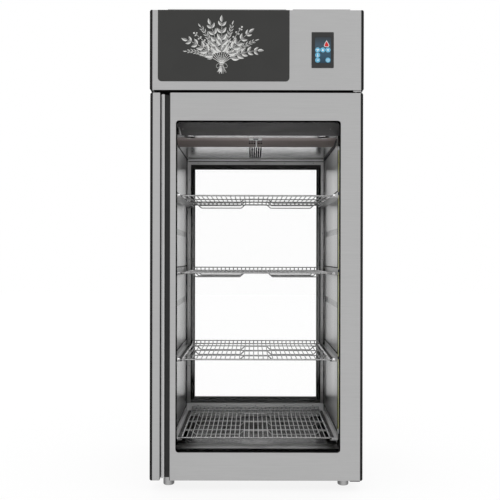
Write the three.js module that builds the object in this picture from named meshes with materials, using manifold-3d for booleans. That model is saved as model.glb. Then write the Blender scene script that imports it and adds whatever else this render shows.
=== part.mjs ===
// Dry aging cabinet: an upright insulated cabinet with a glazed door, a glazed back, four wire shelves
// and a machine compartment behind a header.
//
// Millimetres. X to the right, Y to the back, Z up. The origin is on the floor, in the middle of the
// cabinet's width and depth. A depth is measured backwards from the front plane of the door.

import * as THREE from "three";
import { mergeVertices } from "three/addons/utils/BufferGeometryUtils.js";
import Module from "manifold-3d";

// Driving dimensions

const clearance = 0.3; // between pieces that rest on or pass through each other
const runningGap = 0.1; // between a shaft and the flats of its bore
const overrun = 5; // how far a cutting tool runs past what it cuts
const weld = 0.5; // how far joined stretches of one piece run into each other

// Main sizes
const depth = 710;
const headerWidth = 893.6;
const headerHeight = 333.6;
const headerGap = 11.7; // over the door
const doorHeight = 1615.7;
const doorGround = 44; // the door's lower edge above the floor
const doorThickness = 62;
const doorInset = 2.2; // the door's edges stand back from the header's
const sealSpace = 8; // between the closed door and the front frame
const bodyInset = 6.8; // the body's sides stand back from the header's
const bodyGround = 50;

// Sheet and walls
const sheet = 1.5;
const sideWall = 84.7;
const floorWall = 107;
const roofWall = 71.4;
const backWall = 72;
const jambDepth = 76;
const frameThickness = 6;

// Window of the door
const handleStile = 108.1;
const hingeStile = 93.9;
const bottomRail = 116.5;
const topRail = 115.4;
const windowRadius = 13;
const paneThickness = 4;
const paneGap = 15;
const paneDepth = 12; // front face of the outer pane
const paneGrip = 9; // how far the panes run into the frame
const spacerWidth = 7;
const paneLip = 2.4; // thickness of the core's lip behind the inner pane
const innerFrameThickness = 11.7;
const innerFrameStep = 8; // behind the panes the opening stands back this far

// Handle on the left edge of the door, seen in plan
const trimWidth = 11.4;
const trimFrontRadius = 8;
const trimBackRadius = 9;
const trimCornerRadius = 8;
const handleSheet = 2.5;
const handleStripWidth = 30;
const handleGrooveWidth = 2.8;
const handleDepth = 44.5;
const lipSetback = 29;
const lipWidth = 13;
const lipHook = 5;
const fingerWidth = 27.1;

// Door seal
const gasketInset = 5; // from the room's edge out to the gasket
const gasketWidth = 18;
const gasketNeckWidth = 9;
const gasketBaseThickness = 2;
const gasketBulbThickness = 3;

// Hinges
const hingeAxisInset = 28.6; // from the door's right edge
const hingeAxisDepth = 25;
const pinDiameter = 10;
const pinEngagement = 26;
const bracketThickness = 5;
const upperBracketWidth = 33;
const upperBracketOutset = 21; // the bracket's right edge, beyond the axis
const bracketWideWidth = 42;
const bracketTongueWidth = 32;
const bracketFrontDepth = 8;
const bracketStepInset = 10; // from the door's back to the step
const bracketReach = 50; // under the body
const bracketOutset = 18;
const thrustCollarDiameter = 16;
const collarHeight = 0.9;
const pinHeadDiameter = 12;
const pinHeadHeight = 3;

// Back window, placed from the edges of the room's back wall
const backFrameSideGap = 23;
const backFrameRise = 74;
const backFrameDrop = 153;
const backFrameBar = 15.8;
const backFrameProud = 2;
const backPaneDepth = 22; // from the room's back wall to the inner pane

// Ceiling of the room, placed from its top and from the front frame
const ceilingDrop = 123;
const lipDrop = 105.3;
const fasciaSetback = 3;
const fasciaThickness = 2;
const lipReach = 57;
const slopeReach = 190;
const slotCount = 6;
const slotPitch = 10.2;
const slotWidth = 6;
const slotShift = -4; // the slots' middle, from the cabinet's
const slotFrontGap = 15; // from the end of the slope
const slotBackGap = 41; // from the room's back wall
const lampHoleDiameter = 42;
const lampWallGap = 68.3; // from the room's wall to the lamp's middle
const lampSetback = 25.5; // from the fascia to the lamp's middle
const lampFlange = 4; // flange beyond the hole, all round
const lampHeight = 14;
const lampFlangeThickness = 2.5;

// Light bars on the jambs
const lightBarRise = 64;
const lightBarDrop = 150;
const lightBarSetback = 4;
const lightBarWidth = 26;
const lightBarThickness = 2.4;

// Shelves
const shelfLevelShares = [0.028413, 0.261954, 0.520444, 0.75052]; // of the room's height, from the lowest up
const shelfSideGap = 29.3;
const shelfFrontGap = 20; // behind the front frame's face
const shelfBackGap = 18;
const frameWire = 6;
const crossWire = 5;
const thinWire = 3.4;
const thinWireSpaces = 31;
const sideWireInset = 6; // from the shelf's end to the middle of its side wire
const crossWireShares = [0.285, 0.58, 0.885]; // places of the straight cross wires, of the shelf's depth
const bentWireLead = 14; // each bent wire lies this far in front of a straight one
const dipDepth = 15;
const dipOuterInset = 36; // top corners of the two dips, from the shelf's end and from the middle
const dipInner = 53;
const dipRun = 18; // how far each slope reaches sideways

// Runners
const runnerLedge = 36;
const runnerWall = 26;
const runnerSheet = 2;
const runnerLead = 2; // in front of the shelf
const runnerTail = 13; // behind the shelf
const runnerNoseWidth = 13;
const runnerNoseHeight = 7;
const runnerHoleDiameter = 8;
const runnerHoleShares = [0.2, 0.45, 0.7];

// Machine parts under the ceiling of the room
const coilSideGap = 115.3;
const coilHeadroom = 12.7;
const coilBackGap = 58;
const coilDepth = 130;
const coilFins = 10;
const finThickness = 3;
const coilCore = 12; // web that ties the fins together
const coolFanMargin = 4; // the fan is this much smaller than the coil is high, above and below
const coolFanDepth = 20;
const fanPlateLead = 55; // in front of the coil
const fanPlateWidth = 300;
const motorDiameter = 34;
const shaftDiameter = 6;
const tipClearance = 3;
const bladeCount = 5;
const bladeThickness = 2.2;
const bladePitch = 0.55; // radians
const bladeRootShare = 0.8; // of the chord at the tip, and of the hub's radius
const hubShare = 0.38;
const trayWall = 1.5;
const trayStand = 12; // height of the skids the tray stands on
const trayDrop = 3; // from the tray's floor to the coil
const skidWidth = 8;
const trayHeight = 12;
const trayMargin = 14;

// Header
const headerTrimDepth = 24;
const headerInset = 2; // the header's side sheets stand back from its edges
const headerBackInset = 4;
const panelInset = 34.2; // from the header's left edge
const panelGap = 91.7; // from the panel to the display
const panelRise = 36.2; // above the header's lower edge
const panelThickness = 1.5;
const panelRadius = 16;
const bezelInset = 126.1; // from the header's right edge
const bezelDrop = 92;
const bezelWidth = 92.7;
const bezelHeight = 149;
const bezelRadius = 3;
const bezelBodyDepth = 18;
const bezelBodyInset = 2.5;
const screenLeftInset = 13.7;
const screenRightInset = 12.1;
const screenBottomInset = 20.3;
const screenTopInset = 19.8;
const screenThickness = 0.8;
const lidRise = 5.5;
const lidFrontDepth = 8;
const lidBackInset = 150;
const lidLeftInset = 74.8;
const lidRightInset = 56.8;
const lidSplit = 136; // where the two lids meet, from the middle
const lidGap = 28;
const lidLap = 18; // how far a lid reaches over the edge of its opening
const louvreHeight = 9;
const louvrePitch = 17;
const louvreRise = 38.6;

// Machine parts in the header
const condenserInset = 261.8; // from the header's left edge to its middle
const condenserWidth = 290;
const condenserHeadroom = 83.6;
const condenserDepth = 60;
const condenserBackGap = 18; // from the condenser to the header's back sheet
const condenserFins = 10;
const fanMargin = 20; // the fan is this much smaller than the condenser is high, above and below
const fanDepth = 34;
const shroudGap = 46; // from the fan plate to the coil
const shroudSheet = 2;
const fanStandoff = 14; // from the fan plate forwards to the middle of the fan
const strapWidth = 30;
const condenserMotorDiameter = 70;
const condenserMotorLength = 70;
const condenserShaftDiameter = 10;
const compressorInset = 231.8; // from the header's right edge to its middle
const compressorBackGap = 290;
const compressorDiameter = 168;
const compressorHeight = 205;
const compressorFoot = 190;
const compressorFootHeight = 16;
const terminalBoxWidth = 60;
const terminalBoxHeight = 70;
const terminalBoxDepth = 34;
const domeShare = 0.25; // of the compressor's height
const domeShares = [[1, 1], [0.97, 0.65], [0.86, 0.32], [0.66, 0.1], [0.4, 0]]; // of its radius, of the dome
const terminalBoxRise = 60;
const controlBoxInset = 196.8;
const controlBoxWidth = 190;
const controlBoxHeight = 130;
const controlBoxDepth = 90;
const controlBoxSetback = 25; // behind the front frame's face
const inletInset = 146.8;
const inletRise = 58.6;
const inletWidth = 28;
const inletTall = 34;
const inletFlange = 8;
const inletBodyDepth = 30;
const inletPocketDepth = 16;
const inletWall = 3;
const inletFlangeThickness = 2.5;
const prongSpacing = 6;
const prongOffset = 4;
const prongThickness = 2;
const prongHeight = 5;
const prongSetback = 3;

// Feet
const footDiameter = 47.5;
const footEdgeRadius = 6;
const footSideInset = 66; // from the body's side to the foot's middle
const footDoorGap = 4.25; // behind the door
const footBackInset = 70;
const stemDiameter = 12;
const stemLength = 30;

// How finely round faces are cut
const cornerSteps = 4;
const rodSides = 6;
const lampSides = 18;
const footSides = 16;
const pinSides = 16;
const fanSides = 24;
const holeSides = 8;

// Worked out from the sizes above

const headerSide = headerWidth / 2;
const doorRight = headerSide - doorInset;
const doorLeft = -doorRight;
const doorTop = doorGround + doorHeight;
const headerBottom = doorTop + headerGap;
const headerTop = headerBottom + headerHeight;
const bodySide = headerSide - bodyInset;
const bodyFrontDepth = doorThickness + sealSpace;
const casingFrontDepth = bodyFrontDepth + frameThickness + clearance;
const foamSide = bodySide - sheet - clearance;
const jambBackDepth = bodyFrontDepth + jambDepth;

const roomSide = bodySide - sideWall;
const roomFloor = bodyGround + floorWall;
const roomTop = headerBottom - roofWall;
const roomBackDepth = depth - backWall;

const windowLeft = doorLeft + handleStile;
const windowRight = doorRight - hingeStile;
const windowBottom = doorGround + bottomRail;
const windowTop = doorTop - topRail;
const coreThickness = doorThickness - sheet - innerFrameThickness - 2 * clearance;
const hingeX = doorRight - hingeAxisInset;

const backFrameSide = roomSide - backFrameSideGap;
const backFrameBottom = roomFloor + backFrameRise;
const backFrameTop = roomTop - backFrameDrop;

const ceilingHeight = roomTop - ceilingDrop;
const lipHeight = roomTop - lipDrop;
const fasciaDepth = bodyFrontDepth + fasciaSetback;
const lipBackDepth = bodyFrontDepth + lipReach;
const slopeBackDepth = bodyFrontDepth + slopeReach;
const lampInset = roomSide - lampWallGap;
const lampDepth = fasciaDepth + fasciaThickness + clearance + lampSetback;
const lightBarFront = bodyFrontDepth + lightBarSetback;

const shelfSide = roomSide - shelfSideGap;
const shelfFrontDepth = bodyFrontDepth + shelfFrontGap;
const shelfBackDepth = roomBackDepth - shelfBackGap;
const shelfDepth = shelfBackDepth - shelfFrontDepth;
const sideWireX = shelfSide - sideWireInset;
const shelfPitch = (2 * sideWireX) / thinWireSpaces;
const shelfLevels = shelfLevelShares.map((share) => roomFloor + share * (roomTop - roomFloor));

const bezelRight = headerSide - bezelInset;
const bezelLeft = bezelRight - bezelWidth;
const bezelTop = headerTop - bezelDrop;
const bezelBottom = bezelTop - bezelHeight;
const panelLeft = -headerSide + panelInset;
const panelRight = bezelLeft - panelGap;
const panelBottom = headerBottom + panelRise;
const headerBackDepth = depth - headerBackInset;
const condenserHeight = headerHeight - condenserHeadroom;
const condenserCentre = -headerSide + condenserInset;

// Colours and finishes

const finish = {
  steel: { color: 0xb1b1b1, roughness: 0.35, metalness: 0.9 },
  polished: { color: 0xa8a8a6, roughness: 0.15, metalness: 1 },
  black: { color: 0x2d2d2d, roughness: 0.5, metalness: 0 },
  fascia: { color: 0x3f3f3f, roughness: 0.4, metalness: 0.2 },
  panel: { color: 0x3f3f3e, roughness: 0.6, metalness: 0 },
  foam: { color: 0xd9cfa5, roughness: 0.9, metalness: 0 },
  glass: { color: 0xdfe8e6, roughness: 0.02, metalness: 0, transparent: true, opacity: 0.2 },
  spacer: { color: 0x6a6a6a, roughness: 0.4, metalness: 0.8 },
  rubber: { color: 0x1c1c1c, roughness: 0.8, metalness: 0 },
  light: { color: 0x9a9870, roughness: 0.4, metalness: 0 },
  lamp: { color: 0x4a4a4a, roughness: 0.2, metalness: 0 },
  wire: { color: 0x9c9a96, roughness: 0.25, metalness: 1 },
  screen: { color: 0x405462, roughness: 0.15, metalness: 0 },
  coil: { color: 0xb9bcc0, roughness: 0.4, metalness: 0.9 },
  tray: { color: 0x8f9296, roughness: 0.4, metalness: 0.6 },
  machine: { color: 0x1d1e20, roughness: 0.5, metalness: 0.3 },
  grey: { color: 0x7c8084, roughness: 0.6, metalness: 0 },
  foot: { color: 0xa6a6a6, roughness: 0.4, metalness: 0.9 },
};

const cabinet = new THREE.Group();

// Adds one named piece to the model.
function add(name, geometry, look) {
  const mesh = new THREE.Mesh(geometry, new THREE.MeshStandardMaterial(look));
  mesh.name = name;
  cabinet.add(mesh);
  return mesh;
}

// Y of a depth behind the front plane of the door.
function back(distance) {
  return distance - depth / 2;
}

// Joining and cutting closed meshes

const wasm = await Module();
wasm.setup();

function toSolid(geometry) {
  const bare = new THREE.BufferGeometry();
  const flat = geometry.index ? geometry.toNonIndexed() : geometry;
  bare.setAttribute("position", flat.getAttribute("position"));
  const merged = mergeVertices(bare, 1e-4);
  return new wasm.Manifold(
    new wasm.Mesh({
      numProp: 3,
      vertProperties: new Float32Array(merged.attributes.position.array),
      triVerts: new Uint32Array(merged.index.array),
    }),
  );
}

function toGeometry(solid) {
  const mesh = solid.getMesh();
  const geometry = new THREE.BufferGeometry();
  geometry.setAttribute("position", new THREE.BufferAttribute(new Float32Array(mesh.vertProperties), 3));
  geometry.setIndex(new THREE.BufferAttribute(new Uint32Array(mesh.triVerts), 1));
  const faceted = geometry.toNonIndexed();
  faceted.computeVertexNormals();
  return faceted;
}

function cut(geometry, ...tools) {
  return toGeometry(tools.reduce((solid, tool) => solid.subtract(toSolid(tool)), toSolid(geometry)));
}

function join(...geometries) {
  return toGeometry(geometries.map(toSolid).reduce((whole, solid) => whole.add(solid)));
}

function common(geometry, tool) {
  return toGeometry(toSolid(geometry).intersect(toSolid(tool)));
}

// Basic forms

// A block between two corners; depths stand for Y.
function block([x0, x1], [d0, d1], [z0, z1]) {
  const geometry = new THREE.BoxGeometry(x1 - x0, d1 - d0, z1 - z0);
  return geometry.translate((x0 + x1) / 2, back((d0 + d1) / 2), (z0 + z1) / 2);
}

// A closed outline with rounded corners: radii are lower left, lower right, upper right, upper left.
function roundedOutline([x0, x1], [y0, y1], [r0, r1, r2, r3]) {
  const shape = new THREE.Shape();
  shape.moveTo(x0 + r0, y0);
  shape.lineTo(x1 - r1, y0);
  if (r1) shape.absarc(x1 - r1, y0 + r1, r1, -Math.PI / 2, 0);
  shape.lineTo(x1, y1 - r2);
  if (r2) shape.absarc(x1 - r2, y1 - r2, r2, 0, Math.PI / 2);
  shape.lineTo(x0 + r3, y1);
  if (r3) shape.absarc(x0 + r3, y1 - r3, r3, Math.PI / 2, Math.PI);
  shape.lineTo(x0, y0 + r0);
  if (r0) shape.absarc(x0 + r0, y0 + r0, r0, Math.PI, 1.5 * Math.PI);
  return shape;
}

function outline(points) {
  return new THREE.Shape(points.map(([x, y]) => new THREE.Vector2(x, y)));
}

function extrude(shape, height) {
  return new THREE.ExtrudeGeometry(shape, { depth: height, bevelEnabled: false, curveSegments: cornerSteps });
}

// An outline seen from the front, in X and Z, given its thickness between two depths.
function frontPlate(shape, [d0, d1]) {
  return extrude(shape, d1 - d0).rotateX(Math.PI / 2).translate(0, back(d1), 0);
}

// An outline seen from above, in X and depth, given its height between two levels.
function planPrism(shape, [z0, z1]) {
  return extrude(shape, z1 - z0).translate(0, back(0), z0);
}

// An outline seen from the side, in depth and Z, given its width between two X values.
function sidePrism(shape, [x0, x1]) {
  const turned = extrude(shape, x1 - x0).rotateX(Math.PI / 2).rotateZ(Math.PI / 2);
  return turned.translate(x0, back(0), 0);
}

// A round bar between two points [x, depth, z], turned about its own length by a twist in radians.
function rod(from, to, diameter, sides = rodSides, twist = 0) {
  const start = new THREE.Vector3(from[0], back(from[1]), from[2]);
  const end = new THREE.Vector3(to[0], back(to[1]), to[2]);
  const along = end.clone().sub(start);
  const r = diameter / 2;
  const geometry = new THREE.CylinderGeometry(r, r, along.length(), sides).rotateY(twist);
  const up = new THREE.Vector3(0, 1, 0);
  const turn = new THREE.Quaternion().setFromUnitVectors(up, along.clone().normalize());
  return geometry.applyQuaternion(turn).translate(...start.add(end).multiplyScalar(1 / 2).toArray());
}

// The diameter of a bore whose flats clear a shaft that turns in it.
function boreFor(shaft) {
  return (shaft + 2 * runningGap) / Math.cos(Math.PI / pinSides);
}

// A turned piece on an upright axis; the profile's points are [radius, z].
function turned(profile, sides, [x, d]) {
  const points = profile.map(([r, z]) => new THREE.Vector2(r, z));
  return new THREE.LatheGeometry(points, sides).rotateX(Math.PI / 2).translate(x, back(d), 0);
}

// A box with its front open: the skin of a tub between an outer and an inner block.
function tub(x, d, z, wall) {
  const inner = block([x[0] + wall, x[1] - wall], [d[0] - overrun, d[1] - wall], [z[0] + wall, z[1] - wall]);
  return cut(block(x, d, z), inner);
}

// The four-sided ring between two rectangles seen from the front.
function frontRing([x0, x1], [z0, z1], bar, depths, radius = 0) {
  const outer = roundedOutline([x0, x1], [z0, z1], [0, 0, 0, 0]);
  const corners = [radius, radius, radius, radius];
  outer.holes.push(roundedOutline([x0 + bar, x1 - bar], [z0 + bar, z1 - bar], corners));
  return frontPlate(outer, depths);
}

// Cabinet body

function backOpening(extra) {
  const side = backFrameSide + extra;
  const levels = [backFrameBottom - extra, backFrameTop + extra];
  return block([-side, side], [roomBackDepth - overrun, depth + overrun], levels);
}

function footHoles(diameter, levels) {
  return footPlaces().map(({ x, d }) => rod([x, d, levels[0]], [x, d, levels[1]], diameter, footSides));
}

function footPlaces() {
  const x = bodySide - footSideInset;
  const front = doorThickness + footDoorGap + footDiameter / 2;
  const rear = depth - footBackInset;
  return [
    { name: "foot_front_left", x: -x, d: front },
    { name: "foot_front_right", x, d: front },
    { name: "foot_rear_left", x: -x, d: rear },
    { name: "foot_rear_right", x, d: rear },
  ];
}

function makeBody() {
  const half = bodySide;
  const stemHole = boreFor(stemDiameter);
  const stemTop = bodyGround + stemLength;
  const casing = tub([-half, half], [casingFrontDepth, depth], [bodyGround, headerBottom], sheet);
  const lowHoles = footHoles(stemHole, [bodyGround - overrun, bodyGround + overrun]);
  add("outer_casing", cut(casing, backOpening(clearance), ...lowHoles), finish.steel);

  const foamBack = depth - sheet - clearance;
  const foamLevels = [bodyGround + sheet + clearance, headerBottom - sheet - clearance];
  const foamBlock = block([-foamSide, foamSide], [casingFrontDepth, foamBack], foamLevels);
  const cutSide = roomSide + sheet + clearance;
  const roomCut = block(
    [-cutSide, cutSide],
    [casingFrontDepth - overrun, roomBackDepth + sheet + clearance],
    [roomFloor - sheet - clearance, roomTop + sheet + clearance],
  );
  const deepHoles = footHoles(stemHole, [bodyGround - overrun, stemTop + clearance]);
  add("insulation_foam", cut(foamBlock, roomCut, backOpening(clearance), ...deepHoles), finish.foam);

  const linerSide = roomSide + sheet;
  const liner = tub(
    [-linerSide, linerSide],
    [jambBackDepth + clearance, roomBackDepth + sheet],
    [roomFloor - sheet, roomTop + sheet],
    sheet,
  );
  add("inner_liner", cut(liner, backOpening(clearance)), finish.polished);

  const flange = frontPlate(
    roundedOutline([-half, half], [bodyGround, headerBottom], [0, 0, 0, 0]),
    [bodyFrontDepth, bodyFrontDepth + frameThickness],
  );
  const linerLevels = [roomFloor - sheet, roomTop + sheet];
  const jamb = block([-linerSide, linerSide], [bodyFrontDepth, jambBackDepth], linerLevels);
  const room = block([-roomSide, roomSide], [0, depth], [roomFloor, roomTop]);
  add("front_frame", cut(join(flange, jamb), room), finish.black);
}

function makeBackWindow() {
  const inside = roomBackDepth - backFrameProud;
  const ring = frontRing(
    [-backFrameSide, backFrameSide],
    [backFrameBottom, backFrameTop],
    backFrameBar,
    [inside, depth - clearance],
  );
  const paneSide = backFrameSide - backFrameBar + paneGrip;
  const paneLevels = [backFrameBottom + backFrameBar - paneGrip, backFrameTop - backFrameBar + paneGrip];
  const first = roomBackDepth + backPaneDepth;
  const second = first + paneThickness + paneGap;
  const groove = block(
    [-paneSide - clearance, paneSide + clearance],
    [first - clearance, second + paneThickness + clearance],
    [paneLevels[0] - clearance, paneLevels[1] + clearance],
  );
  add("rear_window_frame", cut(ring, groove), finish.black);
  const paneX = [-paneSide, paneSide];
  add("rear_glass_inner", block(paneX, [first, first + paneThickness], paneLevels), finish.glass);
  add("rear_glass_outer", block(paneX, [second, second + paneThickness], paneLevels), finish.glass);
  const spacerDepths = [first + paneThickness + clearance, second - clearance];
  add("rear_glass_spacer", frontRing(paneX, paneLevels, spacerWidth, spacerDepths), finish.spacer);
}

// Ceiling of the room

function makeCeiling() {
  const side = roomSide - clearance;
  const plateTop = roomTop - clearance;
  const fascia = block([-side, side], [fasciaDepth, fasciaDepth + fasciaThickness], [lipHeight, plateTop]);
  add("ceiling_fascia", fascia, finish.fascia);

  const lipFront = fasciaDepth + fasciaThickness + clearance;
  const coverBack = roomBackDepth - clearance;
  const profile = outline([
    [lipFront, lipHeight],
    [lipBackDepth, lipHeight],
    [slopeBackDepth, ceilingHeight],
    [coverBack, ceilingHeight],
    [coverBack, ceilingHeight + sheet],
    [slopeBackDepth, ceilingHeight + sheet],
    [lipBackDepth, lipHeight + sheet],
    [lipFront, lipHeight + sheet],
  ]);
  const slots = Array.from({ length: slotCount }, (_, i) => {
    const x = slotShift + (i - (slotCount - 1) / 2) * slotPitch;
    const levels = [ceilingHeight - overrun, ceilingHeight + sheet + overrun];
    const slotDepths = [slopeBackDepth + slotFrontGap, roomBackDepth - slotBackGap];
    return block([x - slotWidth / 2, x + slotWidth / 2], slotDepths, levels);
  });
  const lampHoles = [-lampInset, lampInset].map((x) =>
    rod(
      [x, lampDepth, lipHeight - overrun],
      [x, lampDepth, lipHeight + overrun],
      lampHoleDiameter + 2 * clearance,
      lampSides,
    ),
  );
  add("air_duct_cover", cut(sidePrism(profile, [-side, side]), ...slots, ...lampHoles), finish.polished);

  const r = lampHoleDiameter / 2;
  const low = lipHeight - clearance - lampFlangeThickness;
  const lampProfile = [
    [0, low],
    [r + lampFlange - lampFlangeThickness, low],
    [r + lampFlange, lipHeight - clearance],
    [r, lipHeight - clearance],
    [r, low + lampHeight],
    [0, low + lampHeight],
  ];
  add("spotlight_left", turned(lampProfile, lampSides, [-lampInset, lampDepth]), finish.lamp);
  add("spotlight_right", turned(lampProfile, lampSides, [lampInset, lampDepth]), finish.lamp);
}

function makeLightBars() {
  const outer = roomSide - clearance;
  const depths = [lightBarFront, lightBarFront + lightBarWidth];
  const levels = [roomFloor + lightBarRise, roomTop - lightBarDrop];
  add("light_bar_left", block([-outer, -outer + lightBarThickness], depths, levels), finish.light);
  add("light_bar_right", block([outer - lightBarThickness, outer], depths, levels), finish.light);
}

// Runners and shelves

// A runner on the left wall for side -1, and on the right wall for side 1.
function runner(level, side) {
  const wall = side * (roomSide - clearance);
  const inward = -side;
  const ledgeTop = level - thinWire / 2 - crossWire - 2 * clearance;
  const x = (distance) => wall + inward * distance;
  const span = (a, b) => [Math.min(x(a), x(b)), Math.max(x(a), x(b))];
  const front = shelfFrontDepth - runnerLead;
  const ends = [front, shelfBackDepth + runnerTail];
  const ledge = block(span(0, runnerLedge), ends, [ledgeTop - runnerSheet, ledgeTop]);
  const wallFlange = block(span(0, runnerSheet), ends, [ledgeTop - weld, ledgeTop + runnerWall]);
  const noseStart = shelfSideGap - clearance - runnerNoseWidth;
  const nose = block(
    span(noseStart - clearance, noseStart + runnerNoseWidth - 2 * clearance),
    [front, front + runnerSheet],
    [ledgeTop - weld, ledgeTop + runnerNoseHeight],
  );
  const holes = runnerHoleShares.map((share) => {
    const d = front + share * (ends[1] - front);
    const middle = x(runnerLedge - runnerHoleDiameter);
    const levels = [ledgeTop - runnerSheet - overrun, ledgeTop + overrun];
    return rod([middle, d, levels[0]], [middle, d, levels[1]], runnerHoleDiameter, holeSides);
  });
  const notch = block(
    span(-overrun, lightBarThickness + clearance),
    [front - overrun, lightBarFront + lightBarWidth + clearance],
    [ledgeTop - runnerSheet - overrun, ledgeTop + runnerWall + overrun],
  );
  return cut(join(ledge, wallFlange, nose), notch, ...holes);
}

// A cross wire that dips twice, as a bent bar of square section.
function bentWire(d, level) {
  const end = sideWireX;
  const half = crossWire / 2;
  const dipOuter = shelfSide - dipOuterInset;
  const spine = [
    [-end, level],
    [-dipOuter, level],
    [-dipOuter + dipRun, level - dipDepth],
    [-dipInner - dipRun, level - dipDepth],
    [-dipInner, level],
  ];
  const mirrored = spine.map(([x, z]) => [-x, z]).reverse();
  const line = [...spine, ...mirrored];
  const upper = line.map(([x, z]) => [x, z + half]);
  const lower = line.map(([x, z]) => [x, z - half]).reverse();
  return frontPlate(outline([...lower, ...upper]), [d - half, d + half]);
}

function shelf(level) {
  const half = shelfSide;
  const front = shelfFrontDepth + frameWire / 2;
  const rear = shelfBackDepth - frameWire / 2;
  const halfFacet = Math.PI / rodSides;
  const crossLevel = level - thinWire / 2 - clearance - crossWire / 2;
  const pieces = [
    rod([-half, front, level], [half, front, level], frameWire),
    rod([-half, rear, level], [half, rear, level], frameWire),
  ];
  for (let i = 0; i <= thinWireSpaces; i += 1) {
    const x = -sideWireX + i * shelfPitch;
    const outer = i === 0 || i === thinWireSpaces;
    const z = outer ? level - thinWire / 2 : level;
    const wire = outer ? frameWire : thinWire;
    pieces.push(rod([x, front, z], [x, rear, z], wire, rodSides, outer ? 0 : halfFacet));
  }
  for (const share of crossWireShares) {
    const d = shelfFrontDepth + share * shelfDepth;
    pieces.push(rod([-half, d, crossLevel], [half, d, crossLevel], crossWire));
  }
  return { pieces, crossLevel };
}

function makeShelves() {
  shelfLevels.forEach((level, index) => {
    const name = index + 1;
    add("shelf_runner_" + name + "_left", runner(level, -1), finish.polished);
    add("shelf_runner_" + name + "_right", runner(level, 1), finish.polished);
    const { pieces, crossLevel } = shelf(level);
    for (const share of crossWireShares) {
      pieces.push(bentWire(shelfFrontDepth + share * shelfDepth - bentWireLead, crossLevel));
    }
    add("shelf_" + name, join(...pieces), finish.wire);
  });
}

// Cooling unit above the ceiling of the room

// A block whose front and back faces are grooved into upright fins.
function finned([x0, x1], [d0, d1], [z0, z1], fins) {
  const pitch = (x1 - x0 - finThickness) / (fins - 1);
  const middle = (d0 + d1) / 2;
  const grooves = [];
  for (let i = 0; i < fins - 1; i += 1) {
    const x = x0 + i * pitch + finThickness;
    const sides = [x, x + pitch - finThickness];
    const levels = [z0 - overrun, z1 + overrun];
    grooves.push(block(sides, [d0 - overrun, middle - coilCore / 2], levels));
    grooves.push(block(sides, [middle + coilCore / 2, d1 + overrun], levels));
  }
  return cut(block([x0, x1], [d0, d1], [z0, z1]), ...grooves);
}

// A fan wheel on an axis that runs from front to back; its middle is at x, d, z.
function fanWheel([x, d, z], diameter, width, bore) {
  const hubRadius = (diameter / 2) * hubShare;
  const chord = (width - bladeThickness) / Math.sin(bladePitch);
  const reach = Math.sqrt((diameter / 2) ** 2 - (chord / 2) ** 2);
  const root = hubRadius * bladeRootShare;
  const blade = outline([
    [root, -chord * bladeRootShare / 2],
    [reach, -chord / 2],
    [reach, chord / 2],
    [root, chord * bladeRootShare / 2],
  ]);
  const blades = Array.from({ length: bladeCount }, (_, i) =>
    extrude(blade, bladeThickness)
      .translate(0, 0, -bladeThickness / 2)
      .rotateX(Math.PI / 2)
      .rotateX(bladePitch)
      .rotateY((i * 2 * Math.PI) / bladeCount)
      .translate(x, back(d), z),
  );
  const hub = rod([x, d - width / 2, z], [x, d + width / 2, z], 2 * hubRadius, pinSides);
  const hole = rod([x, d - width / 2 - overrun, z], [x, d + width / 2 + overrun, z], bore, pinSides);
  return cut(join(hub, ...blades), hole);
}

function makeCoolingUnit() {
  const half = roomSide - coilSideGap;
  const trayLow = ceilingHeight + sheet + clearance;
  const trayFloor = trayLow + trayStand;
  const coilLow = trayFloor + trayWall + trayDrop;
  const coilTop = roomTop - coilHeadroom;
  const coilBackDepth = roomBackDepth - coilBackGap;
  const coilFrontDepth = coilBackDepth - coilDepth;
  const fanPlateDepth = coilFrontDepth - fanPlateLead;
  const coolFanDiameter = coilTop - coilLow - 2 * coolFanMargin;
  const trayX = [-half - trayMargin, half + trayMargin];
  const trayD = [coilFrontDepth - trayMargin, coilBackDepth + trayMargin];
  const hollow = block(
    [trayX[0] + trayWall, trayX[1] - trayWall],
    [trayD[0] + trayWall, trayD[1] - trayWall],
    [trayFloor + trayWall, trayFloor + trayHeight + overrun],
  );
  const pan = cut(block(trayX, trayD, [trayFloor, trayFloor + trayHeight]), hollow);
  const skids = [
    block([trayX[0], trayX[0] + skidWidth], trayD, [trayLow, trayFloor + weld]),
    block([trayX[1] - skidWidth, trayX[1]], trayD, [trayLow, trayFloor + weld]),
  ];
  add("drip_tray", join(pan, ...skids), finish.tray);

  const coilD = [coilFrontDepth, coilBackDepth];
  const hanger = [coilLow, roomTop - clearance];
  const fanLevel = (coilLow + coilTop) / 2;
  const plateHalf = fanPlateWidth / 2;
  const plateD = [fanPlateDepth, fanPlateDepth + shroudSheet];
  const plate = block([-plateHalf, plateHalf], plateD, [coilLow, coilTop]);
  const mouth = rod(
    [0, fanPlateDepth - overrun, fanLevel],
    [0, fanPlateDepth + overrun, fanLevel],
    coolFanDiameter + 2 * tipClearance,
    fanSides,
  );
  const roof = block(
    [-plateHalf, plateHalf],
    [fanPlateDepth, coilFrontDepth + weld],
    [coilTop - shroudSheet, coilTop],
  );
  const fanMiddle = fanPlateDepth + shroudSheet / 2;
  const motorFront = fanMiddle + coolFanDepth / 2 + tipClearance;
  const unit = join(
    finned([-half, half], coilD, [coilLow, coilTop], coilFins),
    block([-half, -half + finThickness], coilD, hanger),
    block([half - finThickness, half], coilD, hanger),
    cut(plate, mouth),
    roof,
    rod([0, motorFront, fanLevel], [0, coilFrontDepth + coilDepth / 2, fanLevel], motorDiameter, pinSides),
    rod([0, fanMiddle - coolFanDepth / 2, fanLevel], [0, coilFrontDepth, fanLevel], shaftDiameter, pinSides),
  );
  add("evaporator_unit", unit, finish.coil);
  const wheel = fanWheel([0, fanMiddle, fanLevel], coolFanDiameter, coolFanDepth, boreFor(shaftDiameter));
  add("evaporator_fan", wheel, finish.machine);
}

// Header with the machine compartment

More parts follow.
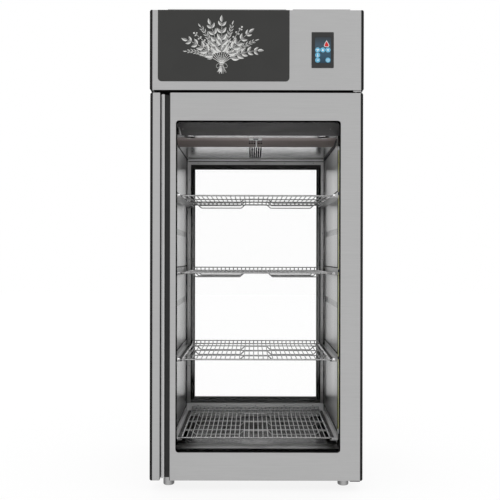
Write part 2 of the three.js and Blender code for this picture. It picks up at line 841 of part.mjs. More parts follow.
// A corner profile whose front and back edges are rounded in plan and whose ends are rounded from the front.
function edgeTrim(side, edge, [d0, d1], [z0, z1], frontRadius, backRadius) {
  const x = side < 0 ? [edge, edge + trimWidth] : [edge - trimWidth, edge];
  const most = trimWidth - clearance;
  const f = Math.min(frontRadius, most);
  const b = Math.min(backRadius, most);
  const c = Math.min(trimCornerRadius, most);
  const plan = side < 0 ? [f, 0, 0, b] : [0, f, b, 0];
  const face = side < 0 ? [c, 0, 0, c] : [0, c, c, 0];
  const bar = planPrism(roundedOutline(x, [d0, d1], plan), [z0, z1]);
  return common(bar, frontPlate(roundedOutline(x, [z0, z1], face), [d0 - overrun, d1 + overrun]));
}

function makeHeader() {
  const side = headerSide - trimWidth - clearance;
  const low = headerBottom + clearance;
  const face = panelThickness + clearance;
  const underside = block([-side, side], [face, casingFrontDepth], [low, low + sheet]);
  const front = block([-side, side], [face, face + sheet], [low, headerTop]);
  const top = block([-side, side], [face, headerTrimDepth], [headerTop - sheet, headerTop]);
  const bodyX = [bezelLeft + bezelBodyInset, bezelRight - bezelBodyInset];
  const bodyZ = [bezelBottom + bezelBodyInset, bezelTop - bezelBodyInset];
  const window = block(
    [bodyX[0] - clearance, bodyX[1] + clearance],
    [0, bezelBodyDepth],
    [bodyZ[0] - clearance, bodyZ[1] + clearance],
  );
  add("header_fascia", cut(join(underside, front, top), window), finish.steel);
  for (const [name, sign] of [["header_trim_left", -1], ["header_trim_right", 1]]) {
    const levels = [headerBottom, headerTop];
    const trim = edgeTrim(sign, sign * headerSide, [0, headerTrimDepth], levels, trimFrontRadius, 0);
    add(name, trim, finish.black);
  }

  const panelRadii = [panelRadius, panelRadius, 0, 0];
  const panel = roundedOutline([panelLeft, panelRight], [panelBottom, headerTop], panelRadii);
  add("graphic_panel", frontPlate(panel, [0, panelThickness]), finish.panel);
  const corners = [bezelRadius, bezelRadius, bezelRadius, bezelRadius];
  const flange = frontPlate(roundedOutline([bezelLeft, bezelRight], [bezelBottom, bezelTop], corners), [
    0,
    panelThickness,
  ]);
  const housing = block(bodyX, [panelThickness - weld, bezelBodyDepth], bodyZ);
  const screenX = [bezelLeft + screenLeftInset, bezelRight - screenRightInset];
  const screenZ = [bezelBottom + screenBottomInset, bezelTop - screenTopInset];
  const screenSeat = block(
    [screenX[0] - clearance, screenX[1] + clearance],
    [-overrun, screenThickness + clearance],
    [screenZ[0] - clearance, screenZ[1] + clearance],
  );
  add("display_bezel", cut(join(flange, housing), screenSeat), finish.black);
  add("display_screen", block(screenX, [0, screenThickness], screenZ), finish.screen);
}

function makeHeaderShell() {
  const half = headerSide - headerInset;
  const front = headerTrimDepth + clearance;
  const rear = headerBackDepth;
  const low = headerBottom + clearance;
  const outer = block([-half, half], [front, rear], [low, headerTop]);
  const inner = block(
    [-half + sheet, half - sheet],
    [front - overrun, rear - sheet],
    [low - overrun, headerTop - sheet],
  );
  const lidBackDepth = depth - lidBackInset;
  const lids = [
    ["roof_lid_left", -headerSide + lidLeftInset, lidSplit - lidGap / 2],
    ["roof_lid_right", lidSplit + lidGap / 2, headerSide - lidRightInset],
  ];
  const hatches = lids.map(([, x0, x1]) =>
    block(
      [x0 + lidLap, x1 - lidLap],
      [front + lidLap, lidBackDepth - lidLap],
      [headerTop - sheet - overrun, headerTop + overrun],
    ),
  );
  const louvreCount = Math.floor(condenserHeight / louvrePitch);
  const louvres = Array.from({ length: louvreCount }, (_, i) => {
    const z = headerBottom + louvreRise + i * louvrePitch;
    const sides = [condenserCentre - condenserWidth / 2, condenserCentre + condenserWidth / 2];
    return block(sides, [rear - sheet - overrun, rear + overrun], [z, z + louvreHeight]);
  });
  const inletCentre = headerSide - inletInset;
  const inletLow = headerBottom + inletRise;
  const inletHole = block(
    [inletCentre - inletWidth / 2 - clearance, inletCentre + inletWidth / 2 + clearance],
    [rear - sheet - overrun, rear + overrun],
    [inletLow - clearance, inletLow + inletTall + clearance],
  );
  add("header_shell", cut(outer, inner, ...hatches, ...louvres, inletHole), finish.steel);
  for (const [name, x0, x1] of lids) {
    const z = headerTop + clearance;
    const lid = block([x0, x1], [lidFrontDepth, lidBackDepth], [z, z + lidRise]);
    const hollow = block(
      [x0 + sheet, x1 - sheet],
      [lidFrontDepth + sheet, lidBackDepth - sheet],
      [z - overrun, z + lidRise - sheet],
    );
    add(name, cut(lid, hollow), finish.steel);
  }

  const flangeX = [inletCentre - inletWidth / 2 - inletFlange, inletCentre + inletWidth / 2 + inletFlange];
  const flange = block(
    flangeX,
    [rear + clearance, rear + clearance + inletFlangeThickness],
    [inletLow - inletFlange, inletLow + inletTall + inletFlange],
  );
  const bodyX = [inletCentre - inletWidth / 2, inletCentre + inletWidth / 2];
  const bodyZ = [inletLow, inletLow + inletTall];
  const body = block(bodyX, [rear - inletBodyDepth, rear + clearance + weld], bodyZ);
  const pocket = block(
    [bodyX[0] + inletWall, bodyX[1] - inletWall],
    [rear - inletPocketDepth, rear + overrun],
    [bodyZ[0] + inletWall, bodyZ[1] - inletWall],
  );
  const prongs = [
    [inletCentre - prongSpacing, inletLow + inletTall / 2 - prongOffset],
    [inletCentre, inletLow + inletTall / 2 + prongOffset],
    [inletCentre + prongSpacing, inletLow + inletTall / 2 - prongOffset],
  ].map(([x, z]) =>
    block(
      [x - prongThickness / 2, x + prongThickness / 2],
      [rear - inletPocketDepth - weld, rear - prongSetback],
      [z - prongHeight / 2, z + prongHeight / 2],
    ),
  );
  add("power_inlet", join(cut(join(flange, body), pocket), ...prongs), finish.machine);
}

function makeMachines() {
  const floor = headerBottom + clearance;
  const rear = headerBackDepth - sheet - condenserBackGap;
  const fanDiameter = condenserHeight - 2 * fanMargin;
  const x = [condenserCentre - condenserWidth / 2, condenserCentre + condenserWidth / 2];
  const z = [floor, floor + condenserHeight];
  const coilFront = rear - condenserDepth;
  const plateFront = coilFront - shroudGap;
  const fanLevel = floor + condenserHeight / 2;
  const duct = cut(
    block(x, [plateFront, coilFront + weld], z),
    block(
      [x[0] + shroudSheet, x[1] - shroudSheet],
      [plateFront + shroudSheet, coilFront + overrun],
      [z[0] + shroudSheet, z[1] - shroudSheet],
    ),
    rod(
      [condenserCentre, plateFront - overrun, fanLevel],
      [condenserCentre, plateFront + overrun, fanLevel],
      fanDiameter + 2 * tipClearance,
      fanSides,
    ),
  );
  const fanMiddle = plateFront - fanStandoff;
  const motorBack = fanMiddle - fanDepth / 2 - tipClearance;
  const motorFront = motorBack - condenserMotorLength;
  const motorMiddle = (motorBack + motorFront) / 2;
  const strapHalf = strapWidth / 2;
  const strapDepths = [motorMiddle - strapHalf, motorMiddle + strapHalf];
  const strapLevels = [fanLevel - strapHalf, fanLevel + strapHalf];
  const strap = block(x, strapDepths, strapLevels);
  const armDepths = [strapDepths[0], plateFront + weld];
  const arms = [
    block([x[0], x[0] + shroudSheet], armDepths, strapLevels),
    block([x[1] - shroudSheet, x[1]], armDepths, strapLevels),
  ];
  const unit = join(
    finned(x, [coilFront, rear], z, condenserFins),
    duct,
    strap,
    ...arms,
    rod(
      [condenserCentre, motorFront, fanLevel],
      [condenserCentre, motorBack, fanLevel],
      condenserMotorDiameter,
      pinSides,
    ),
    rod(
      [condenserCentre, motorFront, fanLevel],
      [condenserCentre, fanMiddle + fanDepth / 2, fanLevel],
      condenserShaftDiameter,
      pinSides,
    ),
  );
  add("condenser_unit", unit, finish.coil);
  const bore = boreFor(condenserShaftDiameter);
  const wheel = fanWheel([condenserCentre, fanMiddle, fanLevel], fanDiameter, fanDepth, bore);
  add("condenser_fan", wheel, finish.machine);

  const compressorCentre = headerSide - compressorInset;
  const compressorDepth = depth - compressorBackGap;
  const r = compressorDiameter / 2;
  const dome = compressorHeight * domeShare;
  const shellLow = floor + compressorFootHeight - weld;
  const profile = [
    [0, shellLow],
    [r, shellLow],
    ...domeShares.map(([across, drop]) => [across * r, floor + compressorHeight - drop * dome]),
    [0, floor + compressorHeight],
  ];
  const footHalf = compressorFoot / 2;
  const footX = [compressorCentre - footHalf, compressorCentre + footHalf];
  const footD = [compressorDepth - footHalf, compressorDepth + footHalf];
  const terminals = block(
    [compressorCentre - terminalBoxWidth / 2, compressorCentre + terminalBoxWidth / 2],
    [compressorDepth - r - terminalBoxDepth, compressorDepth],
    [floor + terminalBoxRise, floor + terminalBoxRise + terminalBoxHeight],
  );
  add(
    "compressor",
    join(
      turned(profile, fanSides, [compressorCentre, compressorDepth]),
      block(footX, footD, [floor, floor + compressorFootHeight]),
      terminals,
    ),
    finish.machine,
  );

  const controlBoxCentre = headerSide - controlBoxInset;
  const controlBoxFrontDepth = bodyFrontDepth + controlBoxSetback;
  const boxHalf = controlBoxWidth / 2;
  const box = block(
    [controlBoxCentre - boxHalf, controlBoxCentre + boxHalf],
    [controlBoxFrontDepth, controlBoxFrontDepth + controlBoxDepth],
    [floor, floor + controlBoxHeight],
  );
  add("control_box", box, finish.grey);
}

// Door

const coreSide = doorRight - trimWidth - clearance;
const outerPane = [paneDepth, paneDepth + paneThickness];
const innerPane = [outerPane[1] + paneGap, outerPane[1] + paneGap + paneThickness];
const paneX = [windowLeft - paneGrip, windowRight + paneGrip];
const paneZ = [windowBottom - paneGrip, windowTop + paneGrip];

// Edges of the handle, from the door's left edge inwards.
const stripStart = doorLeft + trimWidth + clearance;
const grooveStart = stripStart + handleStripWidth;
const lipStart = grooveStart + handleGrooveWidth;
const fingerStart = lipStart + lipWidth;
const fingerEnd = fingerStart + fingerWidth;
const skinStart = fingerEnd + clearance;

function makeHandle() {
  const s = handleSheet;
  const hook = lipSetback + lipHook;
  const profile = outline([
    [stripStart, 0],
    [grooveStart, 0],
    [grooveStart, handleDepth - s],
    [lipStart, handleDepth - s],
    [lipStart, lipSetback],
    [fingerStart, lipSetback],
    [fingerStart, hook],
    [fingerStart - s, hook],
    [fingerStart - s, lipSetback + s],
    [lipStart + s, lipSetback + s],
    [lipStart + s, handleDepth],
    [grooveStart - s, handleDepth],
    [grooveStart - s, s],
    [stripStart, s],
  ]);
  add("handle_profile", planPrism(profile, [doorGround, doorTop]), finish.steel);
  const wall = handleSheet;
  const channelStart = lipStart + s + clearance;
  const channel = outline([
    [channelStart, handleDepth - wall],
    [fingerEnd - wall, handleDepth - wall],
    [fingerEnd - wall, sheet + clearance],
    [fingerEnd, sheet + clearance],
    [fingerEnd, handleDepth],
    [channelStart, handleDepth],
  ]);
  add("handle_channel", planPrism(channel, [doorGround, doorTop]), finish.black);
}

function makeDoor() {
  const radii = [windowRadius, windowRadius, windowRadius, windowRadius];
  const opening = roundedOutline([windowLeft, windowRight], [windowBottom, windowTop], radii);
  const skin = roundedOutline([skinStart, coreSide], [doorGround, doorTop], [0, 0, 0, 0]);
  skin.holes.push(opening);
  add("door_skin", frontPlate(skin, [0, sheet]), finish.steel);

  const coreD = [sheet + clearance, sheet + clearance + coreThickness];
  const coreShape = roundedOutline([-coreSide, coreSide], [doorGround, doorTop], [0, 0, 0, 0]);
  coreShape.holes.push(opening);
  const cutLevels = [doorGround - overrun, doorTop + overrun];
  const handleX = [grooveStart - handleSheet - clearance, skinStart];
  const handleCut = block(handleX, [0, handleDepth + clearance], cutLevels);
  const stripCut = block([-coreSide - overrun, grooveStart], [0, handleSheet + clearance], cutLevels);
  const glazing = block(
    [paneX[0] - clearance, paneX[1] + clearance],
    [outerPane[0] - clearance, innerPane[1] + clearance],
    [paneZ[0] - clearance, paneZ[1] + clearance],
  );
  const step = innerFrameStep;
  const steppedX = [windowLeft - step, windowRight + step];
  const steppedZ = [windowBottom - step, windowTop + step];
  const stepCut = block(steppedX, [innerPane[1] + clearance + paneLip, doorThickness], steppedZ);
  const pinHole = boreFor(pinDiameter);
  const depthOfHole = pinEngagement + clearance;
  const lowPin = [hingeX, hingeAxisDepth];
  const holes = [
    rod([...lowPin, doorGround - overrun], [...lowPin, doorGround + depthOfHole], pinHole, pinSides),
    rod([...lowPin, doorTop - depthOfHole], [...lowPin, doorTop + overrun], pinHole, pinSides),
  ];
  const core = cut(frontPlate(coreShape, coreD), handleCut, stripCut, glazing, stepCut, ...holes);
  add("door_core", core, finish.black);

  add("door_glass_outer", block(paneX, outerPane, paneZ), finish.glass);
  add("door_glass_inner", block(paneX, innerPane, paneZ), finish.glass);
  const spacerD = [outerPane[1] + clearance, innerPane[0] - clearance];
  add("door_glass_spacer", frontRing(paneX, paneZ, spacerWidth, spacerD), finish.spacer);

  const stepped = roundedOutline([-coreSide, coreSide], [doorGround, doorTop], [0, 0, 0, 0]);
  stepped.holes.push(roundedOutline(steppedX, steppedZ, [0, 0, 0, 0]));
  add("door_inner_frame", frontPlate(stepped, [coreD[1] + clearance, doorThickness]), finish.black);

  const side = roomSide + gasketInset + gasketWidth;
  const levels = [roomFloor - gasketInset - gasketWidth, roomTop + gasketInset + gasketWidth];
  const start = doorThickness + clearance;
  const end = bodyFrontDepth - clearance;
  const neckInset = (gasketWidth - gasketNeckWidth) / 2;
  const wide = (depths) => frontRing([-side, side], levels, gasketWidth, depths);
  const neck = frontRing(
    [-side + neckInset, side - neckInset],
    [levels[0] + neckInset, levels[1] - neckInset],
    gasketNeckWidth,
    [start, end],
  );
  const seal = join(wide([start, start + gasketBaseThickness]), neck, wide([end - gasketBulbThickness, end]));
  add("door_gasket", seal, finish.rubber);

  for (const [name, sign] of [["door_trim_left", -1], ["door_trim_right", 1]]) {
    const trim = edgeTrim(
      sign,
      sign * doorRight,
      [0, doorThickness],
      [doorGround, doorTop],
      trimFrontRadius,
      trimBackRadius,
    );
    add(name, trim, finish.black);
  }
}

// Hinges and feet

function makeHinges() {
  const place = [hingeX, hingeAxisDepth];
  const right = hingeX + bracketOutset;
  const upperLow = headerBottom - bracketThickness;
  const upperRight = hingeX + upperBracketOutset;
  const upperPlate = block(
    [upperRight - upperBracketWidth, upperRight],
    [bracketFrontDepth, bodyFrontDepth - clearance],
    [upperLow, headerBottom],
  );
  const upperPinLow = doorTop - pinEngagement;
  const upperPin = rod([...place, upperPinLow], [...place, upperLow + weld], pinDiameter, pinSides);
  add("upper_hinge_bracket", join(upperPlate, upperPin), finish.steel);

  const top = doorGround - clearance - collarHeight;
  const low = top - bracketThickness;
  const bracketStepDepth = doorThickness - bracketStepInset;
  const bracketBackDepth = bodyFrontDepth + bracketReach;
  const wide = block([right - bracketWideWidth, right], [bracketFrontDepth, bracketStepDepth], [low, top]);
  const tongueX = [right - bracketTongueWidth, right];
  const tongue = block(tongueX, [bracketStepDepth - weld, bracketBackDepth], [low, top]);
  const foot = block(
    tongueX,
    [casingFrontDepth + clearance, bracketBackDepth],
    [low, bodyGround - clearance],
  );
  const pinLow = low - pinHeadHeight + weld;
  const pin = rod([...place, pinLow], [...place, doorGround + pinEngagement], pinDiameter, pinSides);
  const collar = rod([...place, low], [...place, top + collarHeight], thrustCollarDiameter, pinSides);
  const head = rod([...place, low - pinHeadHeight], [...place, low + weld], pinHeadDiameter, pinSides);
  add("lower_hinge_bracket", join(wide, tongue, foot, pin, collar, head), finish.black);
}

function makeFeet() {
  const r = footDiameter / 2;
  const stem = stemDiameter / 2;
  const top = bodyGround - clearance;
  const edge = Array.from({ length: cornerSteps + 1 }, (_, i) => {
    const angle = (i / cornerSteps) * (Math.PI / 2);
    const [across, up] = [Math.sin(angle), Math.cos(angle)];
    return [r + footEdgeRadius * (across - 1), footEdgeRadius * (1 - up)];
  });
  const stemTop = bodyGround + stemLength;
  const profile = [[0, 0], ...edge, [r, top], [stem, top], [stem, stemTop], [0, stemTop]];
  for (const { name, x, d } of footPlaces()) {
    add(name, turned(profile, footSides, [x, d]), finish.foot);
  }
}

makeBody();
makeBackWindow();
makeCeiling();
makeLightBars();
makeShelves();
makeCoolingUnit();
makeHeader();
makeHeaderShell();
makeMachines();
makeHandle();
makeDoor();
makeHinges();
makeFeet();

export default cabinet;
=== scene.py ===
"""Looks of the dry aging cabinet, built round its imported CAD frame. Metres, +Z up, the door faces -Y."""

import math
import random

import bmesh
import bpy
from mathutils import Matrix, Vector


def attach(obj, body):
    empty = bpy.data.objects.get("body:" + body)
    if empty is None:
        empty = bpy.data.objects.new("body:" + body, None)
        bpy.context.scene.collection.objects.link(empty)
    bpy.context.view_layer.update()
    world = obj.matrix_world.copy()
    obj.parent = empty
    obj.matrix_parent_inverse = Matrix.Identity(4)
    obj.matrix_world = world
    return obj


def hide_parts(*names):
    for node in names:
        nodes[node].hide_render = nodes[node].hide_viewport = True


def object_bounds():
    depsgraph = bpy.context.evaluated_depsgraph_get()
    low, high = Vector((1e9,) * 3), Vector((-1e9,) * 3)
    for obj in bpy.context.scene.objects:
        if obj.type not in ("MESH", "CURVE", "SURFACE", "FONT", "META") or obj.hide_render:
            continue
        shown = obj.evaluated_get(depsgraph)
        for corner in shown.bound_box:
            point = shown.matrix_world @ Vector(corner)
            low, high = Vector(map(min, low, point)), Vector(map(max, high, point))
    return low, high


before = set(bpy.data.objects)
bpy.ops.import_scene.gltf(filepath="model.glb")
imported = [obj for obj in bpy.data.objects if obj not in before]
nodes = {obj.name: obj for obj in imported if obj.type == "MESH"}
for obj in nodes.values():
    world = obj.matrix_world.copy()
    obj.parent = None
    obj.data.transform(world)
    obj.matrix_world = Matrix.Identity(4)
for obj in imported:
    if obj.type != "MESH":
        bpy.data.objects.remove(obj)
cad_low, cad_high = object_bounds()
scene = bpy.context.scene

MM = 0.001
FRONT = round(cad_low[1], 4)  # Y of the door's front plane
SIDES = (-1, 1)  # left and right
HANDS = (("left", -1), ("right", 1))
random.seed(7)

# Planes of the room and places of the feet, in millimetres
ROOM_SIDE = 355.3
REAR_WALL = 638
COVER = 1477  # underside of the ceiling cover where it lies level
COVER_FRONT = 1494.4  # its underside at the front, where the lamps sit
FASCIA_FACE = 72.9  # depth of the dark plate over the room
FOOT_X = 374
FOOT_DEPTHS = (("front", 90), ("rear", 640))


def at(depth_mm):
    """Y of a depth behind the door's front plane."""
    return FRONT + depth_mm * MM


def point_at(x, depth, z):
    """A point in metres, from X, depth and height in millimetres."""
    return (x * MM, at(depth), z * MM)


def span(side, a, b):
    """X from a to b on one side of the cabinet, in rising order."""
    return sorted((side * a, side * b))


# Materials

EVEN = (1, 1, 1)  # a noise that isn't drawn out
DRAWN = (0.02, 1, 1)  # one that is, from side to side
PEEL = 2500  # scale of the orange peel on coats and plastics


def linear(level):
    """A grey or colour channel from 0 to 255, as linear light."""
    s = level / 255
    return s / 12.92 if s <= 0.04045 else ((s + 0.055) / 1.055) ** 2.4


def rgb(*levels):
    """A linear colour from one grey or from three channels, each from 0 to 255."""
    channels = levels * 3 if len(levels) == 1 else levels
    return (*map(linear, channels), 1)


class Material:
    """A Principled material with its node tree at hand."""

    def __init__(self, name, roughness=0.5, metallic=0.0, **sockets):
        self.data = bpy.data.materials.new(name)
        self.data.use_nodes = True
        self.tree = self.data.node_tree
        self.shader = self.tree.nodes["Principled BSDF"]
        self.shader.inputs["Roughness"].default_value = roughness
        self.shader.inputs["Metallic"].default_value = metallic
        for key, value in sockets.items():
            self.shader.inputs[key.replace("_", " ")].default_value = value

    def node(self, kind, inputs=None, **settings):
        """A new node; each input is a socket to link or a plain value."""
        made = self.tree.nodes.new(kind)
        for key, value in settings.items():
            setattr(made, key, value)
        for key, value in (inputs or {}).items():
            if isinstance(value, bpy.types.NodeSocket):
                self.tree.links.new(value, made.inputs[key])
            else:
                made.inputs[key].default_value = value
        return made

    def link(self, socket, name):
        self.tree.links.new(socket, self.shader.inputs[name])

    def colour(self, socket):
        self.link(socket, "Base Color")

    def along(self, axis, source="Object"):
        """Place on one axis in metres, or the same part of another coordinate."""
        vector = self.node("ShaderNodeTexCoord").outputs[source]
        return self.node("ShaderNodeSeparateXYZ", {"Vector": vector}).outputs[axis]

    def compute(self, operation, *values):
        return self.node("ShaderNodeMath", dict(enumerate(values)), operation=operation).outputs["Value"]

    def noise(self, scale, stretch=EVEN, detail=2.0):
        source = self.node("ShaderNodeTexCoord").outputs["Object"]
        place = self.node("ShaderNodeMapping", {"Vector": source, "Scale": stretch}).outputs["Vector"]
        inputs = {"Vector": place, "Scale": scale, "Detail": detail}
        return self.node("ShaderNodeTexNoise", inputs).outputs["Fac"]

    def share(self, value, low, high, start=0.0, stop=1.0):
        """A number that runs from start to stop as value goes from low to high."""
        ends = {"From Min": low, "From Max": high, "To Min": start, "To Max": stop}
        return self.node("ShaderNodeMapRange", {"Value": value, **ends}).outputs["Result"]

    def between(self, factor, low, high, edges=(0.3, 0.7)):
        """A colour that runs from low to high as factor does between the edges."""
        ramp = self.node("ShaderNodeValToRGB", {"Fac": factor})
        for point, edge, colour in zip(ramp.color_ramp.elements, edges, (low, high)):
            point.position = edge
            point.color = colour
        return ramp.outputs["Color"]

    def ramp(self, length, stops):
        """A colour that follows a length; stops are (millimetres, levels) in rising order."""
        low, high = stops[0][0] * MM, stops[-1][0] * MM
        made = self.node("ShaderNodeValToRGB", {"Fac": self.share(length, low, high)})
        points = made.color_ramp.elements
        while len(points) < len(stops):
            points.new(0.5)
        for point, (place, levels) in zip(points, stops):
            point.position = (place * MM - low) / (high - low)
            point.color = rgb(*levels) if isinstance(levels, tuple) else rgb(levels)
        return made.outputs["Color"]

    def by_place(self, axis, stops):
        """A colour that changes along one axis."""
        return self.ramp(self.along(axis), stops)

    def mixed(self, factor, low, high, blend="MIX"):
        inputs = {"Factor": factor, 6: low, 7: high}
        return self.node("ShaderNodeMix", inputs, data_type="RGBA", blend_type=blend).outputs[2]

    def grained(self, colour, grain, low):
        """A colour that a grain darkens here and there, down to low out of 255."""
        return self.mixed(1.0, colour, self.between(grain, rgb(low), rgb(255)), "MULTIPLY")

    def gloss(self, pattern, low, high):
        """Roughness from low to high, as the pattern goes."""
        self.link(self.share(pattern, 0.3, 0.7, low, high), "Roughness")

    def bump(self, height, distance, strength=0.35):
        made = self.node("ShaderNodeBump", {"Height": height, "Distance": distance, "Strength": strength})
        self.link(made.outputs["Normal"], "Normal")

    def peel(self, low, high, scale=PEEL, distance=0.00003):
        """Fine orange peel in the gloss and the height."""
        skin = self.noise(scale)
        self.gloss(skin, low, high)
        self.bump(skin, distance, 0.4)


def brushed(name, grey, spread=3, roughness=0.34, stretch=(1, 1, 0.01), scale=900, bump=0.00002):
    """Sheet steel with a fine grain along the axis that stretch makes short, and faint broad clouds."""
    m = Material(name, roughness, 1.0)
    grain = m.noise(scale, stretch)
    m.colour(m.between(grain, rgb(grey - spread), rgb(grey + spread)))
    m.gloss(m.noise(3, (1, 1, 0.4)), roughness - 0.03, roughness + 0.03)
    m.bump(grain, bump)
    return m.data


def plastic(name, colour, spread=3, roughness=0.4, grain=PEEL, bump=0.00003, **sockets):
    """Moulded or powder-coated surface: a fine orange peel and slight change of tone."""
    m = Material(name, roughness, 0.0, **sockets)
    channels = colour if isinstance(colour, tuple) else (colour,) * 3
    low = rgb(*[max(0, c - spread) for c in channels])
    high = rgb(*[c + spread for c in channels])
    m.colour(m.between(m.noise(9), low, high))
    m.peel(roughness - 0.05, roughness + 0.05, grain, bump)
    return m.data


def matt(name, colour, spread=2, roughness=0.6, specular=0.0):
    """Plastic or print with hardly any shine."""
    return plastic(name, colour, spread, roughness, Specular_IOR_Level=specular)


def chrome(name, grey, spread, roughness):
    """Bright plating without a grain."""
    return brushed(name, grey, spread, roughness, EVEN, 300, 0)


def satin(name, grey, roughness, stretch=EVEN):
    """Small folded or pressed part of satin sheet."""
    return brushed(name, grey, 2, roughness, stretch, 600)


def clear_glass(name, tint):
    """Clear pane: nearly all of what lies behind shows through."""
    m = Material(name, 0.02, 0.0, Alpha=0.003, IOR=1.45)
    high = rgb(*[min(255, t + 4) for t in tint])
    m.colour(m.between(m.noise(4, detail=1.0), rgb(*tint), high))
    return m.data


def duct_steel():
    """Ceiling cover with painted light and shade: grey on its slope and paler towards the rear."""
    m = Material("steel_ceiling", 0.2, 1.0)
    # Painted light and shade by depth, under a real fine grain
    slope = [(-286, 150), (-229, 150), (-96, 188)]
    level = [(-40, 184), (90, 198), (150, 226), (210, 250), (283, 250)]
    m.colour(m.grained(m.by_place("Y", slope + level), m.noise(260, DRAWN), 246))
    m.gloss(m.noise(5), 0.2, 0.26)
    return m.data


def fascia_coat():
    """Dark satin of the plate over the room, with painted light making it paler towards its upper edge."""
    m = Material("dark_steel", 0.45, 0.0, Specular_IOR_Level=0.3)
    stops = [
        (1490, (70, 69, 69)), (1512, (72, 71, 71)), (1528, (84, 83, 83)), (1540, (96, 95, 95)),
        (1552, (112, 111, 111)), (1570, (112, 111, 111)),
    ]
    m.colour(m.by_place("Z", stops))
    m.peel(0.4, 0.5)
    return m.data


def slope_reflection():
    """Brown-grey painted reflection on the sloping air guide, lighter at its front edge."""
    m = Material("slope_reflection", 0.5, 0.0, Specular_IOR_Level=0.0)
    edge = [(-229, (180, 170, 168)), (-206, (172, 162, 160))]
    m.colour(m.by_place("Y", edge + [(-186, (140, 131, 129)), (-96, (136, 128, 125))]))
    m.gloss(m.noise(260, DRAWN), 0.42, 0.5)
    return m.data


def bead_metal():
    """Glazing bead of the back window with a painted reflection: satin grey along its middle and dark towards
    its ends.
    """
    m = Material("bead_metal", 0.35, 0.2)
    stops = [(231, 34), (340, 34), (390, 112), (560, 148), (1000, 148), (1225, 116), (1285, 34), (1447, 34)]
    m.colour(m.by_place("Z", stops))
    m.gloss(m.noise(500, (1, 1, 0.02)), 0.32, 0.4)
    return m.data


def frame_plastic():
    """Frame of the back window: dark above and below, with a painted reflection in grey along its sides, and
    black joint lines.
    """
    m = Material("rear_frame", 0.6, 0.0, Specular_IOR_Level=0.0)
    foot = [(231, 84), (245.6, 84), (246.2, 5), (247.6, 5), (248.2, 30)]
    # Painted reflection: grey along the sides, darker towards their ends
    sides = [(345, 30), (395, 76), (560, 100), (1000, 100), (1225, 76), (1285, 34)]
    head = [(1429.8, 34), (1430.4, 6), (1431.8, 6), (1432.4, 62), (1447, 62)]
    m.colour(m.by_place("Z", foot + sides + head))
    m.bump(m.noise(PEEL), 0.00003, 0.4)
    return m.data


def edge_profile():
    """Edge moulding: dark grey on its face, with painted shade making it nearly black towards its outer side.
    """
    m = Material("trim_edge", 0.6, 0.0, Specular_IOR_Level=0.0)
    face_end, outer_side = 0.439, 0.4435
    share = m.share(m.compute("ABSOLUTE", m.along("X")), face_end, outer_side)
    m.colour(m.between(share, rgb(46), rgb(28), (0.0, 1.0)))
    m.peel(0.55, 0.65)
    return m.data


def handle_steel():
    """Brushed handle profile, blackened inside its narrow groove as painted shade, with a painted highlight
    that lightens its lip.
    """
    m = Material("steel_handle", 0.34, 1.0)
    face_sheet, groove_edge = 0.0012, -0.40015
    behind = m.compute("GREATER_THAN", m.along("Y"), FRONT + face_sheet)
    left = m.compute("LESS_THAN", m.along("X"), groove_edge)
    # Painted shade: the narrow groove behind the face sheet is coloured black and not metal
    groove = m.compute("MULTIPLY", behind, left)
    grain = m.noise(900, (0.01, 1, 1))
    # Painted highlight: the lip is lighter than the face strip
    lip_highlight = m.by_place("X", [(-434, 184), (-402, 184), (-400.4, 202), (-360, 202)])
    m.colour(m.mixed(groove, m.grained(lip_highlight, grain, 249), rgb(36)))
    m.link(m.compute("SUBTRACT", 1.0, groove), "Metallic")
    m.bump(grain, 0.00002)
    return m.data


def shelf_wire(name, low, high):
    """Shelf wire with painted light: one tone low down in the room and another above."""
    m = Material(name, 0.3, 1.0)
    m.colour(m.by_place("Z", [(150, low), (260, low), (420, high), (1300, high)]))
    m.gloss(m.noise(300), 0.26, 0.34)
    return m.data


def liner_steel():
    """Polished tub, darker towards the rear as painted shade; its floor is coloured near-black, glossy and
    not metal.
    """
    m = Material("steel_polished", 0.34, 1.0, Anisotropic=1.0)
    floor_top, wall_start = 0.1578, 0.1592
    wall = m.share(m.along("Z"), floor_top, wall_start)
    grain = m.noise(420, (1, 1, 0.01))
    # Painted shade: the sheet darkens from front to rear
    sheet = m.grained(m.by_place("Y", [(-285, 212), (-60, 212), (60, 192), (283, 174)]), grain, 249)
    m.colour(m.mixed(wall, rgb(24, 23, 23), sheet))
    m.link(wall, "Metallic")
    smooth = m.share(m.noise(5, (1, 1, 0.5)), 0.3, 0.7, 0.29, 0.33)
    floor_roughness = 0.2
    rough = m.node("ShaderNodeMix", {"Factor": wall, 2: floor_roughness, 3: smooth}, data_type="FLOAT")
    m.link(rough.outputs[0], "Roughness")
    m.bump(grain, 0.00006, 0.3)
    return m.data


def runner_steel():
    """Satin runner with a painted shadow, black on top of its ledge, where the shelf runs."""
    m = Material("steel_runner", 0.4, 1.0)
    shadow_reach, upwards = 0.341, 0.7
    inner = m.compute("LESS_THAN", m.compute("ABSOLUTE", m.along("X")), shadow_reach)
    top = m.compute("GREATER_THAN", m.along("Z", "Normal"), upwards)
    grain = m.noise(900, (1, 0.02, 1))
    # Painted shadow on the inner part of the ledge's top
    painted_shadow = m.compute("MULTIPLY", inner, top)
    m.colour(m.mixed(painted_shadow, m.between(grain, rgb(196), rgb(200)), rgb(44)))
    m.bump(grain, 0.00002)
    return m.data


def foot_chrome():
    """Turned chrome with a painted reflection: bright down the middle of its front and back, darker towards
    its sides.
    """
    m = Material("steel_foot", 0.3, 1.0)
    aside = m.compute("SUBTRACT", m.compute("ABSOLUTE", m.along("X")), FOOT_X * MM)
    stops = [(0, 181), (6.5, 174), (11, 155), (15.5, 126), (20, 106), (24, 102)]
    m.colour(m.ramp(m.compute("ABSOLUTE", aside), stops))
    grain = m.noise(900, (1, 1, 0.05))
    m.gloss(grain, 0.26, 0.34)
    m.bump(grain, 0.00002)
    return m.data


